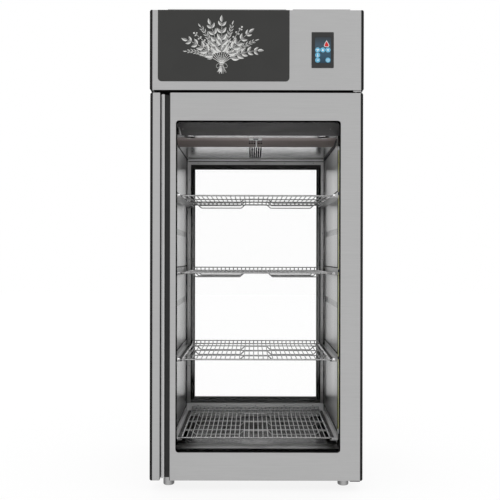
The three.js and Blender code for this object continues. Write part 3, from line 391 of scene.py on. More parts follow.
def sill_gloss():
    """Lacquered black sill, drawn out from front to back by its polish."""
    m = Material(
        "jamb_gloss", 0.36, 0.0, Specular_IOR_Level=1.0, Anisotropic=1.0,
        Coat_Weight=1.0, Coat_IOR=2.1, Coat_Roughness=0.3,
    )
    m.colour(m.between(m.noise(PEEL), rgb(19), rgb(23)))
    m.link(m.node("ShaderNodeTangent", direction_type="RADIAL", axis="X").outputs["Tangent"], "Tangent")
    return m.data


def screen_look():
    """Lit touch screen, blue-grey and darker towards its ends."""
    m = Material("screen_face", 0.25, 0.0, Specular_IOR_Level=0.25)
    stops = [(1784, (38, 62, 78)), (1815, (52, 84, 104)), (1860, (64, 84, 98)), (1893, (52, 58, 63))]
    m.colour(m.by_place("Z", stops))
    m.gloss(m.noise(400, detail=1.0), 0.22, 0.28)
    return m.data


# Sheet steel
steel = brushed("steel_brushed", 181, stretch=(0.01, 1, 1))
steel_side = brushed("steel_side", 181)
steel_polished = liner_steel()
steel_ceiling = duct_steel()
steel_runner = runner_steel()
steel_handle = handle_steel()
clip_steel = satin("clip_steel", 176, 0.4)
guide_plate = satin("guide_plate", 214, 0.45)
kick_steel = satin("kick_steel", 226, 0.55, DRAWN)
dull_steel = satin("dull_steel", 214, 0.5, DRAWN)
gasket_band = satin("gasket_band", 190, 0.45, DRAWN)
# Darker than the wall it is pressed into: painted shade on the ribs
rib_steel = brushed("rib_steel", 152, 2, 0.3, scale=420, bump=0.0004)
fins_metal = brushed("fins_metal", 190, 4, 0.35, (1, 1, 0.05), 500)
bead = bead_metal()

# Plated parts
steel_foot = foot_chrome()
rivet_grey = chrome("rivet_grey", 120, 3, 0.3)
# Painted light: the rims, grey wires and thin wires are one plated wire in lit and shaded copies
wire_chrome = chrome("wire_chrome", 176, 3, 0.2)
wire_grey = shelf_wire("wire_grey", 172, 152)
wire_thin = shelf_wire("wire_thin", 156, 104)
bright_chrome = chrome("bright_chrome", 225, 2, 0.12)
# Near-white chrome of the runner stops: a painted highlight
nose_chrome = chrome("nose_chrome", 251, 2, 0.1)

# Coats and dark plastics
dark_steel = fascia_coat()
slope_reflection_look = slope_reflection()
trim_edge = edge_profile()
rear_frame = frame_plastic()
jamb_gloss = sill_gloss()
black_trim = matt("black_trim", 40)
black_frame = matt("black_frame", 34, 2, 0.5, 0.05)
black_inside = matt("black_inside", 26)
black_channel = matt("black_channel", 76, 2, 0.6, 0.1)
bezel_print = matt("bezel_print", 62, 1, 0.6, 0.1)
panel_print = matt("panel_print", (64, 64, 63), 1, 0.6, 0.1)
slot_black = matt("slot_black", 8, 1)
spacer_black = matt("spacer_black", 14, 1)
machine_black = plastic("machine_black", (28, 29, 31), 3, 0.35, 800, 0.00005)

# Glass, foam, rubber and pale plastics
glass_door = clear_glass("glass_door", (60, 64, 64))
glass_rear = clear_glass("glass_rear", (250, 250, 250))
lamp_glass = matt("lamp_glass", (62, 60, 59), 3, 0.5)
foam = plastic("foam", (214, 200, 152), 8, 0.9, 400, 0.0003)
rubber = plastic("rubber", 30, 3, 0.7, 900, 0.0001)
sealant_and_shadow = plastic("sealant_and_shadow", (48, 48, 47), 3, 0.6, 120, 0.0006, Specular_IOR_Level=0.2)
diffuser = plastic("diffuser", (190, 188, 112))
end_cap = plastic("end_cap", (196, 197, 198))
tray_plastic = plastic("tray_plastic", (180, 182, 184))
grey_plastic = plastic("grey_plastic", (128, 131, 134), 3, 0.5)

# Inks of the panel and colours of the display
ink_pale = matt("ink_pale", (224, 224, 222), 3, 0.6, 0.1)
ink_grey = matt("ink_grey", (142, 142, 141), 4, 0.6, 0.1)
ink_dark = matt("ink_dark", (82, 82, 81), 3, 0.6, 0.1)
screen_face = screen_look()
button_blue = matt("button_blue", (92, 176, 214), 3, 0.35, 0.2)
button_rim = matt("button_rim", (140, 204, 230), 3, 0.35, 0.2)
symbol_white = matt("symbol_white", (236, 246, 250), 2, 0.4, 0.2)
alarm_red = matt("alarm_red", (208, 52, 50), 3, 0.4, 0.2)

FINISHES = (
    (steel, "door_skin header_fascia upper_hinge_bracket"),
    (steel_side, "outer_casing header_shell roof_lid_left roof_lid_right"),
    (steel_polished, "inner_liner"),
    (steel_ceiling, "air_duct_cover"),
    (steel_handle, "handle_profile"),
    (dark_steel, "ceiling_fascia"),
    (black_trim, "lower_hinge_bracket"),
    (black_frame, "front_frame door_inner_frame"),
    (black_inside, "door_core door_glass_spacer"),
    (black_channel, "handle_channel"),
    (trim_edge, "door_trim_left door_trim_right header_trim_left header_trim_right"),
    (rear_frame, "rear_window_frame"),
    (glass_door, "door_glass_outer door_glass_inner"),
    (glass_rear, "rear_glass_inner rear_glass_outer"),
    (spacer_black, "rear_glass_spacer"),
    (rubber, "door_gasket"),
    (foam, "insulation_foam"),
    (panel_print, "graphic_panel"),
    (bezel_print, "display_bezel"),
    (screen_face, "display_screen"),
    (lamp_glass, "spotlight_left spotlight_right"),
    (diffuser, "light_bar_left light_bar_right"),
    (fins_metal, "evaporator_unit condenser_unit"),
    (machine_black, "evaporator_fan condenser_fan compressor power_inlet"),
    (grey_plastic, "control_box"),
    (tray_plastic, "drip_tray"),
)
RUNNERS = [f"shelf_runner_{number}_{hand}" for number in range(1, 5) for hand, side in HANDS]

finish = {name: material for material, names in FINISHES for name in names.split()}
finish.update({name: steel_runner for name in RUNNERS})
finish.update({f"shelf_{number}": wire_chrome for number in range(1, 5)})
finish.update({f"foot_{row}_{hand}": steel_foot for row, depth in FOOT_DEPTHS for hand, side in HANDS})

for name, node in nodes.items():
    node.data.materials.clear()
    node.data.materials.append(finish[name])


# Pieces


def new_piece(name, bm, materials, body, smooth=30):
    """Turns a bmesh into a shown piece that rides on a body."""
    bmesh.ops.recalc_face_normals(bm, faces=bm.faces[:])
    mesh = bpy.data.meshes.new(name)
    bm.to_mesh(mesh)
    bm.free()
    piece = bpy.data.objects.new(name, mesh)
    scene.collection.objects.link(piece)
    for material in materials:
        mesh.materials.append(material)
    mesh.shade_smooth()
    mesh.set_sharp_from_angle(angle=math.radians(smooth))
    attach(piece, body)
    return piece


def skinned(bm, rows, index=0, capped=False):
    """Bands of faces through rings of points in metres; a ring of one point is a tip."""
    rings = [[bm.verts.new(spot) for spot in row] for row in rows]
    faces = [rings[0], rings[-1][::-1]] if capped else []
    for low, high in zip(rings, rings[1:]):
        steps = max(len(low), len(high))
        for k in range(steps):
            j = (k + 1) % steps
            faces.append((low[k % len(low)], high[k % len(high)], high[j % len(high)], low[j % len(low)]))
    for face in faces:
        corners = list(dict.fromkeys(face))
        if len(corners) > 2:
            bm.faces.new(corners).material_index = index


def run_at(path, i):
    """Direction of a path at one of its points."""
    return (path[min(i + 1, len(path) - 1)] - path[max(i - 1, 0)]).normalized()


def ring_round(middle, side, other, radius, sides):
    """Points of a ring in the plane of two directions."""
    turn = [2 * math.pi * k / sides for k in range(sides)]
    return [middle + (side * math.cos(t) + other * math.sin(t)) * radius for t in turn]


def rounded_path(points, radius, steps):
    """A polyline whose inner corners are arcs."""
    points = [Vector(p) for p in points]
    path = [points[0]]
    for before, corner, after in zip(points, points[1:], points[2:]):
        a, b = (before - corner).normalized(), (after - corner).normalized()
        half = a.angle(b) / 2
        reach = radius / math.tan(half)
        centre = corner + (a + b).normalized() * (radius / math.sin(half))
        first, last = corner + a * reach - centre, corner + b * reach - centre
        start, stop = first.normalized(), last.normalized()
        for i in range(steps + 1):
            path.append(centre + start.slerp(stop, i / steps) * radius)
    path.append(points[-1])
    return path


def add_tube(bm, path, radius, sides, index):
    """A closed round tube along a path, its ends slightly domed."""
    dome = 0.3  # height of the dome, in radii
    path = [Vector(p) for p in path]
    first = run_at(path, 0)
    side = first.orthogonal().normalized()
    rows = [[path[0] - first * radius * dome]]
    for i, point in enumerate(path):
        along = run_at(path, i)
        side = (side - along * side.dot(along)).normalized()
        rows.append(ring_round(point, side, along.cross(side), radius, sides))
    rows.append([path[-1] + along * radius * dome])
    skinned(bm, rows, index)


# Camera

CAMERA_X = -0.0156
CAMERA_HEIGHT = 0.9783
CAMERA_DISTANCE = 2.774  # in front of the door
CAMERA_ROLL = -0.11  # degrees

camera_data = bpy.data.cameras.new("camera")
camera_data.lens = 47.95
camera_data.sensor_width = 36
camera_data.shift_x = -0.0054
camera_data.shift_y = 0.0128
camera_data.clip_end = 100
camera = bpy.data.objects.new("camera", camera_data)
camera.location = (CAMERA_X, FRONT - CAMERA_DISTANCE, CAMERA_HEIGHT)
camera.rotation_euler = (math.radians(90), math.radians(CAMERA_ROLL), 0)
scene.collection.objects.link(camera)
scene.camera = camera


# Shelves, in millimetres

SHELF_LEVELS = (198, 535, 908, 1240)  # heights of the top wires
SHELF_HALF = 326  # half the length of the front and rear rims
SHELF_FRONT = 93
SHELF_REAR = 617
SIDE_WIRE = 320  # the outermost wires, from the middle
SPACES = 31  # between the top wires
STOP_RISE = 15  # the raised stop at the rear
RIM_DROP = 0.6  # below the top wires' level, as are the next two
SIDE_DROP = 1.7
CARRIER_DROP = 4.5
CARRIER_DEPTHS = (241, 397, 559)
CARRIER_PAIR = 14  # from a straight carrier wire forwards to its bent mate
DIP = 17
BENT_HALF = [(54, 0), (73, -DIP), (271, -DIP), (290, 0), (319, 0)]  # X and rise of one half
BENT_LINE = [(-x, rise) for x, rise in BENT_HALF[::-1]] + BENT_HALF
CARRIER_BEND = (6, 4)  # radius and steps
TURN_UP = (4, 3)
FRONT_RIM, REAR_RIM, OUTER_WIRE = 3.5, 3.0, 3.0  # wires' radii
STOP_WIRE, TOP_WIRE, CARRIER_WIRE = 2.6, 2.1, 2.5
CHROME, GREY, THIN = 0, 1, 2  # a shelf's materials


def make_shelf(number, level):
    """Rims, turned-up top wires with a stop behind, and pairs of carrier wires, one straight and one bent."""
    bm = bmesh.new()

    def straight(half, depth, z, radius, index, sides=10):
        add_tube(bm, [point_at(-half, depth, z), point_at(half, depth, z)], radius * MM, sides, index)

    def bent(points, bend, radius, index):
        path = rounded_path([point_at(*point) for point in points], bend[0] * MM, bend[1])
        add_tube(bm, path, radius * MM, 10, index)

    for depth, radius in ((SHELF_FRONT, FRONT_RIM), (SHELF_REAR, REAR_RIM)):
        straight(SHELF_HALF, depth, level - RIM_DROP, radius, CHROME, 12)
    straight(SIDE_WIRE, SHELF_REAR, level + STOP_RISE, STOP_WIRE, GREY)
    for i in range(SPACES + 1):
        x = -SIDE_WIRE + 2 * SIDE_WIRE * i / SPACES
        outer = i in (0, SPACES)
        z = level - SIDE_DROP if outer else level
        run = [(x, SHELF_FRONT, z), (x, SHELF_REAR, z), (x, SHELF_REAR, level + STOP_RISE)]
        bent(run, TURN_UP, *((OUTER_WIRE, CHROME) if outer else (TOP_WIRE, THIN)))
    for depth in CARRIER_DEPTHS:
        z = level - CARRIER_DROP
        straight(SHELF_HALF - 1, depth, z, CARRIER_WIRE, GREY)
        run = [(x, depth - CARRIER_PAIR, z + rise) for x, rise in BENT_LINE]
        bent(run, CARRIER_BEND, CARRIER_WIRE, GREY)
    piece = new_piece(f"wire_shelf_{number}", bm, [wire_chrome, wire_grey, wire_thin], f"shelf_{number}", 50)
    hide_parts(f"shelf_{number}")


for number, level in enumerate(SHELF_LEVELS, 1):
    make_shelf(number, level)


# Small shapes, in millimetres: x, depth and z


def prism(bm, outline, d0, d1, index=0):
    """A plate between two depths, with its outline given in x and z."""
    skinned(bm, [[point_at(x, d, z) for x, z in outline] for d in (d0, d1)], index, True)


def lofted(bm, outline, x0, x1, index=0):
    """A bar along X; its outline is given in depth and z."""
    skinned(bm, [[point_at(x, d, z) for d, z in outline] for x in (x0, x1)], index, True)


def bar(bm, x, d, z, index=0):
    """A bar of square section along X, between two depths and two heights."""
    lofted(bm, [(d[0], z[0]), (d[0], z[1]), (d[1], z[1]), (d[1], z[0])], *x, index)


def rounded_rectangle(x0, x1, z0, z1, radii, steps=4):
    """Outline with corner radii in the order lower left, lower right, upper right, upper left."""
    points = []
    corners = ((x0, z0, 1, 1, 180), (x1, z0, -1, 1, 270), (x1, z1, -1, -1, 0), (x0, z1, 1, -1, 90))
    for (x, z, sx, sz, start), r in zip(corners, radii):
        if not r:
            points.append((x, z))
            continue
        for i in range(steps + 1):
            a = math.radians(start + 90 * i / steps)
            points.append((x + sx * r + r * math.cos(a), z + sz * r + r * math.sin(a)))
    return points


def circle(x, z, r, steps, start=0.0, sweep=2 * math.pi):
    turn = [start + sweep * i / steps for i in range(steps)]
    return [(x + r * math.cos(a), z + r * math.sin(a)) for a in turn]


def box(bm, x, d, z, bevel, index=0):
    """A box with softened edges."""
    made = bmesh.ops.create_cube(bm, size=1)["verts"]
    for v in made:
        v.co = point_at(x[v.co.x > 0], d[v.co.y > 0], z[v.co.z > 0])
    for face in {f for v in made for f in v.link_faces}:
        face.material_index = index
    edges = {e for v in made for e in v.link_edges}
    bmesh.ops.bevel(bm, geom=list(edges), offset=bevel * MM, segments=3, affect="EDGES", material=-1)


def turned(bm, profile, centre, steps, index=0, to_front=False):
    """A turned shape: its profile is (radius, height), or (radius, depth) on an axis to the front."""
    rows = []
    for r, h in profile:
        ring = circle(*centre, r, steps) if r else [centre]
        rows.append([point_at(u, h, v) if to_front else point_at(u, v, h) for u, v in ring])
    skinned(bm, rows, index)


def rivet(bm, centre, seat, r=2.6, high=1.1, to_front=True):
    """A low domed head on a wall that faces the front, or on a ceiling."""
    profile = [(0, seat - high), (r * 0.6, seat - high * 0.8), (r, seat - 0.1), (r, seat)]
    turned(bm, profile, centre, 12, 0, to_front)


# Header: engraved panel and display

PALE, HALF_TONE, DEEP, GROUND = 0, 1, 2, 3  # the panel's inks
PANEL_X = (-412.6, 136.3)
PANEL_Z = (1707.6, 2005)
PANEL_RADIUS = 16
PANEL_DEPTHS = (0.6, 1.5)  # front and back of the print
KNOT = (-146, 1778)  # where the bunch is tied
SPRIG_STEPS = 24
PAIRS = {"broad": 5, "narrow": 9, "berry": 6}
# Angle from the stem, then length and width of a leaf in a pair and of the one at the tip
LEAVES = {"broad": (40, 36, 8.4, 27, 6), "narrow": (30, 25, 3.1, 19, 2.8)}


def stroke(a, b, width):
    """A thin tapering line."""
    a, b = Vector(a), Vector(b)
    side = (b - a).normalized()
    side = Vector((-side.y, side.x)) * width / 2
    return [tuple(a - side), tuple(b - side * 0.3), tuple(b + side * 0.3), tuple(a + side)]


def heading(angle):
    return Vector((math.cos(angle), math.sin(angle)))


def leaf(bm, base, angle, length, width, lit, depth):
    """An engraved leaf: one half pale and one half grey, with short hatching on both."""
    along = heading(angle)
    across = Vector((-along.y, along.x)) * lit

    def place(t, share):
        spread = width * math.sin(math.pi * min(1, t) ** 0.8) ** 0.9
        bend = 0.05 * length * math.sin(math.pi * t)
        point = Vector(base) + along * (length * t) + across * (spread * share + bend)
        return (point.x, point.y)

    steps = 8
    for share, ink in ((1, PALE), (-1, HALF_TONE)):
        outline = [place(0, 0)]
        outline += [place(i / steps, share) for i in range(1, steps)]
        outline += [place(1, 0)]
        outline += [place(i / steps, 0) for i in range(steps - 1, 0, -1)]
        prism(bm, outline, depth, depth + 0.02, ink)
    for share, ink, cover in ((1, HALF_TONE, 0.7), (-1, PALE, 0.8)):
        for i in range(2, 9, 2):
            hatch = stroke(place(i / 10, 0), place(i / 10 + 0.1, share * cover), 0.7)
            prism(bm, hatch, depth - 0.004, depth, ink)
    prism(bm, stroke(place(0.02, 0), place(0.96, 0), 0.9), depth - 0.006, depth - 0.004, DEEP)


def berry(bm, stem, way, reach, r, layer):
    """A berry on its stalk, with a shaded side."""
    spot = stem + way * reach
    prism(bm, stroke(stem, spot, 1.3), layer + 0.01, layer + 0.02, PALE)
    prism(bm, circle(*spot, r, 16), layer, layer + 0.01, PALE)
    prism(bm, circle(spot.x + r * 0.3, spot.y - r * 0.3, r * 0.6, 12), layer - 0.003, layer, HALF_TONE)


def stem_path(tilt, length):
    """Points of a stem that leaves the knot at 55% of its tilt and bows outwards."""
    step = length / SPRIG_STEPS
    path = [KNOT]
    for i in range(1, SPRIG_STEPS + 1):
        turn = math.radians(90 - tilt * 0.55) - math.radians(tilt * 0.45) * i / SPRIG_STEPS
        path.append((path[-1][0] + math.cos(turn) * step, path[-1][1] + math.sin(turn) * step))
    return path


def sprig(bm, tilt, length, size, kind, depth):
    """A bowed stem, set with leaves in pairs or with berries."""
    path = [Vector(p) for p in stem_path(tilt, length)]

    def way_from(i):
        step = path[i + 1] - path[i]
        return math.atan2(step.y, step.x)

    for i, (a, b) in enumerate(zip(path, path[1:])):
        prism(bm, stroke(a, b, 3.2 - 1.8 * i / SPRIG_STEPS), depth + 0.03, depth + 0.05, PALE)
    first, last = 7, 22
    for n in range(PAIRS[kind]):
        share = n / (PAIRS[kind] - 1)
        i = round(first + (last - first) * share)
        scale = size * (1.0 - 0.35 * share)
        for side in SIDES:
            wave = math.sin(n * 2.3 + side + tilt)
            layer = depth + 0.02 * ((n + (side > 0)) % 2)
            if kind == "berry":
                way = heading(way_from(i) + side * 0.9)
                berry(bm, path[i], way, (10 + 3 * wave) * scale, 4.9 * scale, layer)
            else:
                swing, long, wide = LEAVES[kind][:3]
                angle = way_from(i) + side * math.radians(swing + 6 * wave)
                leaf(bm, path[i], angle, long * scale, wide * scale, side, layer)
    if kind == "berry":
        prism(bm, circle(*path[-1], 3.6 * size, 14), depth, depth + 0.01, PALE)
    else:
        long, wide = LEAVES[kind][3:]
        leaf(bm, path[-1], way_from(-2), long * size, wide * size, 1, depth)


def make_bow(bm):
    """String wound round the knot, with two loops and two loose ends."""
    x, z = KNOT
    for k in range(5):
        turn = z - 7 + 3.4 * k
        prism(bm, stroke((x - 9.5, turn - 1), (x + 9.5, turn + 1), 2.6), 0.05, 0.08, k % 2 and DEEP)
    for side in SIDES:
        loop = []
        for i in range(17):
            a = math.pi * 2 * i / 16
            out = (1 - math.cos(a)) / 2  # 0 at the knot, 1 at the loop's far end
            loop.append((x + side * (4 + 19 * out), z - 2 - 9 * math.sin(a) - 6 * out))
        for a, b in zip(loop, loop[1:]):
            prism(bm, stroke(a, b, 1.6), 0.03, 0.05, PALE)
        prism(bm, stroke((x + side * 3, z - 6), (x + side * 20, z - 33), 1.8), 0.03, 0.05, PALE)


def make_panel():
    bm = bmesh.new()
    outline = rounded_rectangle(*PANEL_X, *PANEL_Z, (PANEL_RADIUS, PANEL_RADIUS, 0, 0), 10)
    prism(bm, outline, *PANEL_DEPTHS, GROUND)
    # A tied bunch of kitchen herbs: angle from upright, length, size, kind
    bunch = [
        (-88, 158, 1.0, "narrow"), (88, 162, 1.0, "broad"), (-70, 176, 1.05, "broad"),
        (70, 172, 1.0, "narrow"), (-53, 176, 1.0, "berry"), (52, 176, 1.0, "broad"),
        (-37, 178, 1.1, "narrow"), (36, 178, 1.0, "berry"), (-20, 172, 1.05, "broad"),
        (19, 170, 1.1, "narrow"), (0, 176, 1.1, "broad"),
    ]
    for n, (tilt, length, size, kind) in enumerate(bunch):
        sprig(bm, tilt, length, size, kind, 0.5 - 0.042 * n)
        stalk = heading(math.radians(-90 + tilt * 0.3)) * (34 + 5 * math.sin(n * 2.0))
        prism(bm, stroke((KNOT[0] + stalk.x, KNOT[1] + stalk.y), KNOT, 3.0), 0.1, 0.12, n % 2)
    make_bow(bm)
    piece = new_piece("engraved_panel", bm, [ink_pale, ink_grey, ink_dark, panel_print], "cabinet")
    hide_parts("graphic_panel")


SCREEN, BLUE, RIM, WHITE, RED = 0, 1, 2, 3, 4  # the display's materials
SCREEN_X = (241.9, 308.4)
SCREEN_Z = (1784.5, 1893)
SCREEN_FACE = 0.35  # depths of the layers, from the screen forwards
RIM_FACE = 0.22
BUTTON_FACE = 0.14
SYMBOL_FACE = 0.06
BUTTON_COLUMNS = (253.5, 275.1, 296.4)
BUTTON_ROWS = (1839, 1817.5, 1796.7)
RIM_RADIUS = 10.2
BUTTON_RADIUS = 8.8
ALARM = (290.6, 1865)
LINE = 1.6  # width of the symbols' lines


def symbol(bm, outline, lift=0.0):
    prism(bm, outline, SYMBOL_FACE + lift, BUTTON_FACE, WHITE)


def spoke(bm, centre, angle, start, stop, lift=0.0):
    """A line of a symbol on a ray from its centre."""
    middle, way = Vector(centre), heading(angle)
    symbol(bm, stroke(middle + way * start, middle + way * stop, LINE), lift)


def fan_symbol(bm, x, z):
    for k in range(3):
        blade = heading(k * 2 * math.pi / 3 + 0.4) * 3.4
        symbol(bm, circle(x + blade.x, z + blade.y, 2.6, 12))


def drop_symbol(bm, x, z):
    half = [(-3.9, -1.6), (-2.6, -4.6)]
    mirrored = [(-a, b) for a, b in half[::-1]]
    symbol(bm, [(x + a, z + b) for a, b in [(0, 6.2)] + half + [(0, -5.6)] + mirrored])


def light_symbol(bm, x, z):
    symbol(bm, circle(x, z, 3.2, 16))
    for k in range(8):
        spoke(bm, (x, z), k * math.pi / 4, 4.3, 6.6)


def thermometer_symbol(bm, x, z):
    symbol(bm, rounded_rectangle(x - 1.6, x + 1.6, z - 2, z + 6.2, (0, 0, 1.6, 1.6)))
    symbol(bm, circle(x, z - 3.4, 3.2, 16))


def frost_symbol(bm, x, z):
    for k in range(3):
        spoke(bm, (x, z), k * math.pi / 3 + math.pi / 2, -5.8, 5.8, 0.01 * k)


def power_symbol(bm, x, z):
    gap, arc = math.radians(60), math.radians(300)
    symbol(bm, circle(x, z, 5.6, 24, gap, -arc) + circle(x, z, 3.9, 24, gap - arc, arc))
    symbol(bm, [(x - 0.9, z + 1), (x + 0.9, z + 1), (x + 0.9, z + 6.6), (x - 0.9, z + 6.6)])


def alarm_symbol(bm, x, z):
    """A red drop with a white rim."""
    half = [(-5, 6), (-9, -1.5), (-11, -8), (-8.4, -12.8)]
    drop = [(0, 14)] + half + [(0, -14)] + [(-a, b) for a, b in half[::-1]]
    prism(bm, [(x + a, z + b) for a, b in drop], 0.2, SCREEN_FACE, WHITE)
    prism(bm, [(x + a * 0.8, z - 1 + b * 0.8) for a, b in drop], 0.1, 0.2, RED)


def make_display():
    bm = bmesh.new()
    prism(bm, rounded_rectangle(*SCREEN_X, *SCREEN_Z, (2, 2, 2, 2)), SCREEN_FACE, 0.8, SCREEN)
    left, middle, right = BUTTON_COLUMNS
    top, centre, bottom = BUTTON_ROWS
    buttons = (
        (left, top, fan_symbol), (middle, top, drop_symbol), (right, top, light_symbol),
        (left, centre, thermometer_symbol), (left, bottom, frost_symbol), (right, bottom, power_symbol),
    )
    for x, z, draw in buttons:
        prism(bm, circle(x, z, RIM_RADIUS, 32), RIM_FACE, SCREEN_FACE, RIM)
        prism(bm, circle(x, z, BUTTON_RADIUS, 32), BUTTON_FACE, RIM_FACE, BLUE)
        draw(bm, x, z)
    alarm_symbol(bm, *ALARM)
    piece = new_piece(
        "display_symbols", bm, [screen_face, button_blue, button_rim, symbol_white, alarm_red], "cabinet"
    )
    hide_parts("display_screen")


make_panel()
make_display()


# Room: light bars, lamps, seams, stops, rivets and thin trim

BAR_FOOT = 221  # heights: a light bar's ends and the edges of its end caps
BAR_HEAD = 1452
CAP_LOW = 236
CAP_HIGH = 1436
LAMP_X = 287
LAMP_DEPTH = 100.8
LAMP_LOW = 1491.9
NOSE_BACK = 90.95  # where the stops meet the runners
NOSE_RISES = (0.4, 5.4, 1.4, 6.4)  # tops of the runner stops over the shelf levels
KICK_TOP = 225  # edge of the kick strip, where the corner seams end


def make_light_bar(name, side):
    """Housing, lit strip, end caps and shelf clips; the right one also has a steel bracket."""
    bm = bmesh.new()
    box(bm, span(side, 353.5, 355), (74, 100), (BAR_FOOT, 1450), 0.4, 0)
    box(bm, span(side, 352.6, 354), (77, 97.5), (CAP_LOW, CAP_HIGH), 0.5, 1)
    for ends in ((BAR_FOOT, CAP_LOW), (CAP_HIGH, BAR_HEAD)):
        box(bm, span(side, 350, 355), (74.5, 99.5), ends, 1.2, 2)
    for level in SHELF_LEVELS[1:]:
        box(bm, span(side, 351.9, 353.4), (76, 98.5), (level + 3, level + 15), 0.3, 4)
    if side > 0:
        box(bm, (345.8, 348), (80, 98), (1448, COVER_FRONT), 0.4, 3)
        box(bm, (345.8, 351), (80, 98), (1447, 1449.4), 0.4, 3)
    looks = [grey_plastic, diffuser, end_cap, clip_steel, black_trim]
    piece = new_piece(f"light_bar_parts_{name}", bm, looks, "cabinet")
    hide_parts(f"light_bar_{name}")


def make_lamp(name, side):
    """Round lamp: chrome ring, shallow glass and the can above it."""
    bm = bmesh.new()
    centre = (side * LAMP_X, LAMP_DEPTH)
    low, seat, can_top = LAMP_LOW, COVER_FRONT, 1505.9
    ring = [(24.2, low + 0.9), (24.4, low), (25, low + 0.3), (25.3, low + 1.4), (25.3, seat), (20, seat)]
    turned(bm, ring, centre, 48, 0)
    turned(bm, [(0, low + 0.1), (12, low + 0.2), (24.2, low + 0.9), (24.2, seat - 0.1)], centre, 48, 1)
    turned(bm, [(20.5, seat - 0.4), (20.5, can_top), (0, can_top)], centre, 32, 2)
    piece = new_piece(f"lamp_{name}", bm, [bright_chrome, lamp_glass, machine_black], "cabinet")
    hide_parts(f"spotlight_{name}")


def seam(bm, path, radius, wobble):
    """A hand-laid bead of sealant whose thickness wanders; the same bead also draws painted shadow lines."""
    spacing, sides = 14, 8
    points = []
    for a, b in zip(path, path[1:]):
        a, b = Vector(a), Vector(b)
        count = max(1, round((b - a).length / spacing))
        points += [a.lerp(b, i / count) for i in range(count)]
    points.append(Vector(path[-1]))
    rows = []
    for i, point in enumerate(points):
        along = run_at(points, i)
        side = along.orthogonal().normalized()
        r = radius + wobble * (math.sin(i * 0.9) * 0.5 + random.uniform(-0.5, 0.5))
        rows.append([point_at(*spot) for spot in ring_round(point, side, along.cross(side), r, sides)])
    skinned(bm, rows, capped=True)


def make_seams():
    """Beads along the ceiling's sides, down the rear corners, over the window and over the runners; the dark
    beads along the ceiling's sides are painted shadow in the gap between the cover and the walls.
    """
    bm = bmesh.new()
    # Along the ceiling's sides: painted shadow, a dark bead standing in for the shadow gap at the walls
    for side, thick in ((-1, 1.6), (1, 4.2)):
        x, z = side * (ROOM_SIDE - thick), COVER - thick
        seam(bm, [(x, 130, z + 17.2), (x, 260, z), (x, 634, z)], thick, thick * 0.2)
    seam(bm, [(-352.3, 635.3, 1474), (-352.3, 635.3, KICK_TOP)], 2.0, 0.4)
    seam(bm, [(349.2, 634.2, 1474), (349.2, 634.2, KICK_TOP)], 2.6, 0.5)
    seam(bm, [(-346, 636.4, 1464), (346, 636.4, 1464)], 2.1, 0.3)
    for level in SHELF_LEVELS:
        for side in SIDES:
            x, z = side * 352.8, level + 21.8
            seam(bm, [(x, 102, z), (x, 628, z)], 2.4, 0.3)
    piece = new_piece("liner_seams", bm, [sealant_and_shadow], "cabinet", 60)


def make_noses():
    """Polished stops on the front ends of the runners, turned towards the middle; their near-white chrome is
    a painted highlight.
    """
    bm = bmesh.new()
    # X and depth, thickest at its outer edge
    outline = [
        (338.8, NOSE_BACK), (338.8, 88.2), (338.4, 87.8), (336, 88.2), (332, 89.1), (328.6, 90.2),
        (328, NOSE_BACK),
    ]
    for level, rise in zip(SHELF_LEVELS, NOSE_RISES):
        foot, top = level - 6.6, level + rise
        for side in SIDES:
            rows = []
            # Height of each row, and how far its rounding pulls it in
            for z, pull in ((foot, 0.4), (foot + 1.2, 0), (top - 1.2, 0), (top, 0.4)):
                rows.append([point_at(side * (x - pull), min(d + pull, NOSE_BACK), z) for x, d in outline])
            skinned(bm, rows, capped=True)
    piece = new_piece("runner_noses", bm, [nose_chrome], "cabinet")


def make_rivets():
    """Heads on the front of the ceiling, round the rear window and at the ends of the fascia."""
    bm = bmesh.new()
    for x in (-172.5, -103.5, -34.5, 34.5, 103.5, 172.5):
        rivet(bm, (x, 97), COVER_FRONT + 0.2, 3.2, 1.2, False)
    for side in SIDES:
        for z in range(282, 1440, 136):
            rivet(bm, (side * 340, z), REAR_WALL - 0.2)
    for x in (-294, -147, 0, 147, 294):
        rivet(bm, (x, 1456), REAR_WALL - 0.2)
        rivet(bm, (x, 214), REAR_WALL - 1.6)  # on the kick strip
    for x in (-315, 315):
        for z in (1522, 1576):
            rivet(bm, (x, z), FASCIA_FACE, 3.2, 1.2)
    piece = new_piece("liner_rivets", bm, [rivet_grey], "cabinet")


def make_beads():
    """Glazing beads down both sides of the rear window."""
    bm = bmesh.new()
    for side in SIDES:
        box(bm, span(side, 316.8, 325), (634, 636.2), (249, 1429), 0.7)
    piece = new_piece("window_beads", bm, [bead], "cabinet")


SLOPE_START, SLOPE_END = 127, 260  # depths of the ceiling cover's slope
SLOPE_TOP = 1494.7
SKIN_START, SKIN_END = 127.5, 259.6
SKIN_SIDE = 354.6
SLOTS = 6
SLOTS_MIDDLE = -4
SLOT_PITCH = 10.2
SLOT_HALF = 3


def on_slope(d, drop):
    """Height of a point on the sloping air guide, drop millimetres under it."""
    return SLOPE_TOP - (d - SLOPE_START) * (SLOPE_TOP - COVER) / (SLOPE_END - SLOPE_START) - drop


def slope_plate(bm, x, d, drops, index):
    """A plate that follows the slope, between two depths and two drops."""
    corners = zip((d[0], d[0], d[1], d[1]), drops + drops[::-1])
    lofted(bm, [(depth, on_slope(depth, drop)) for depth, drop in corners], *x, index)


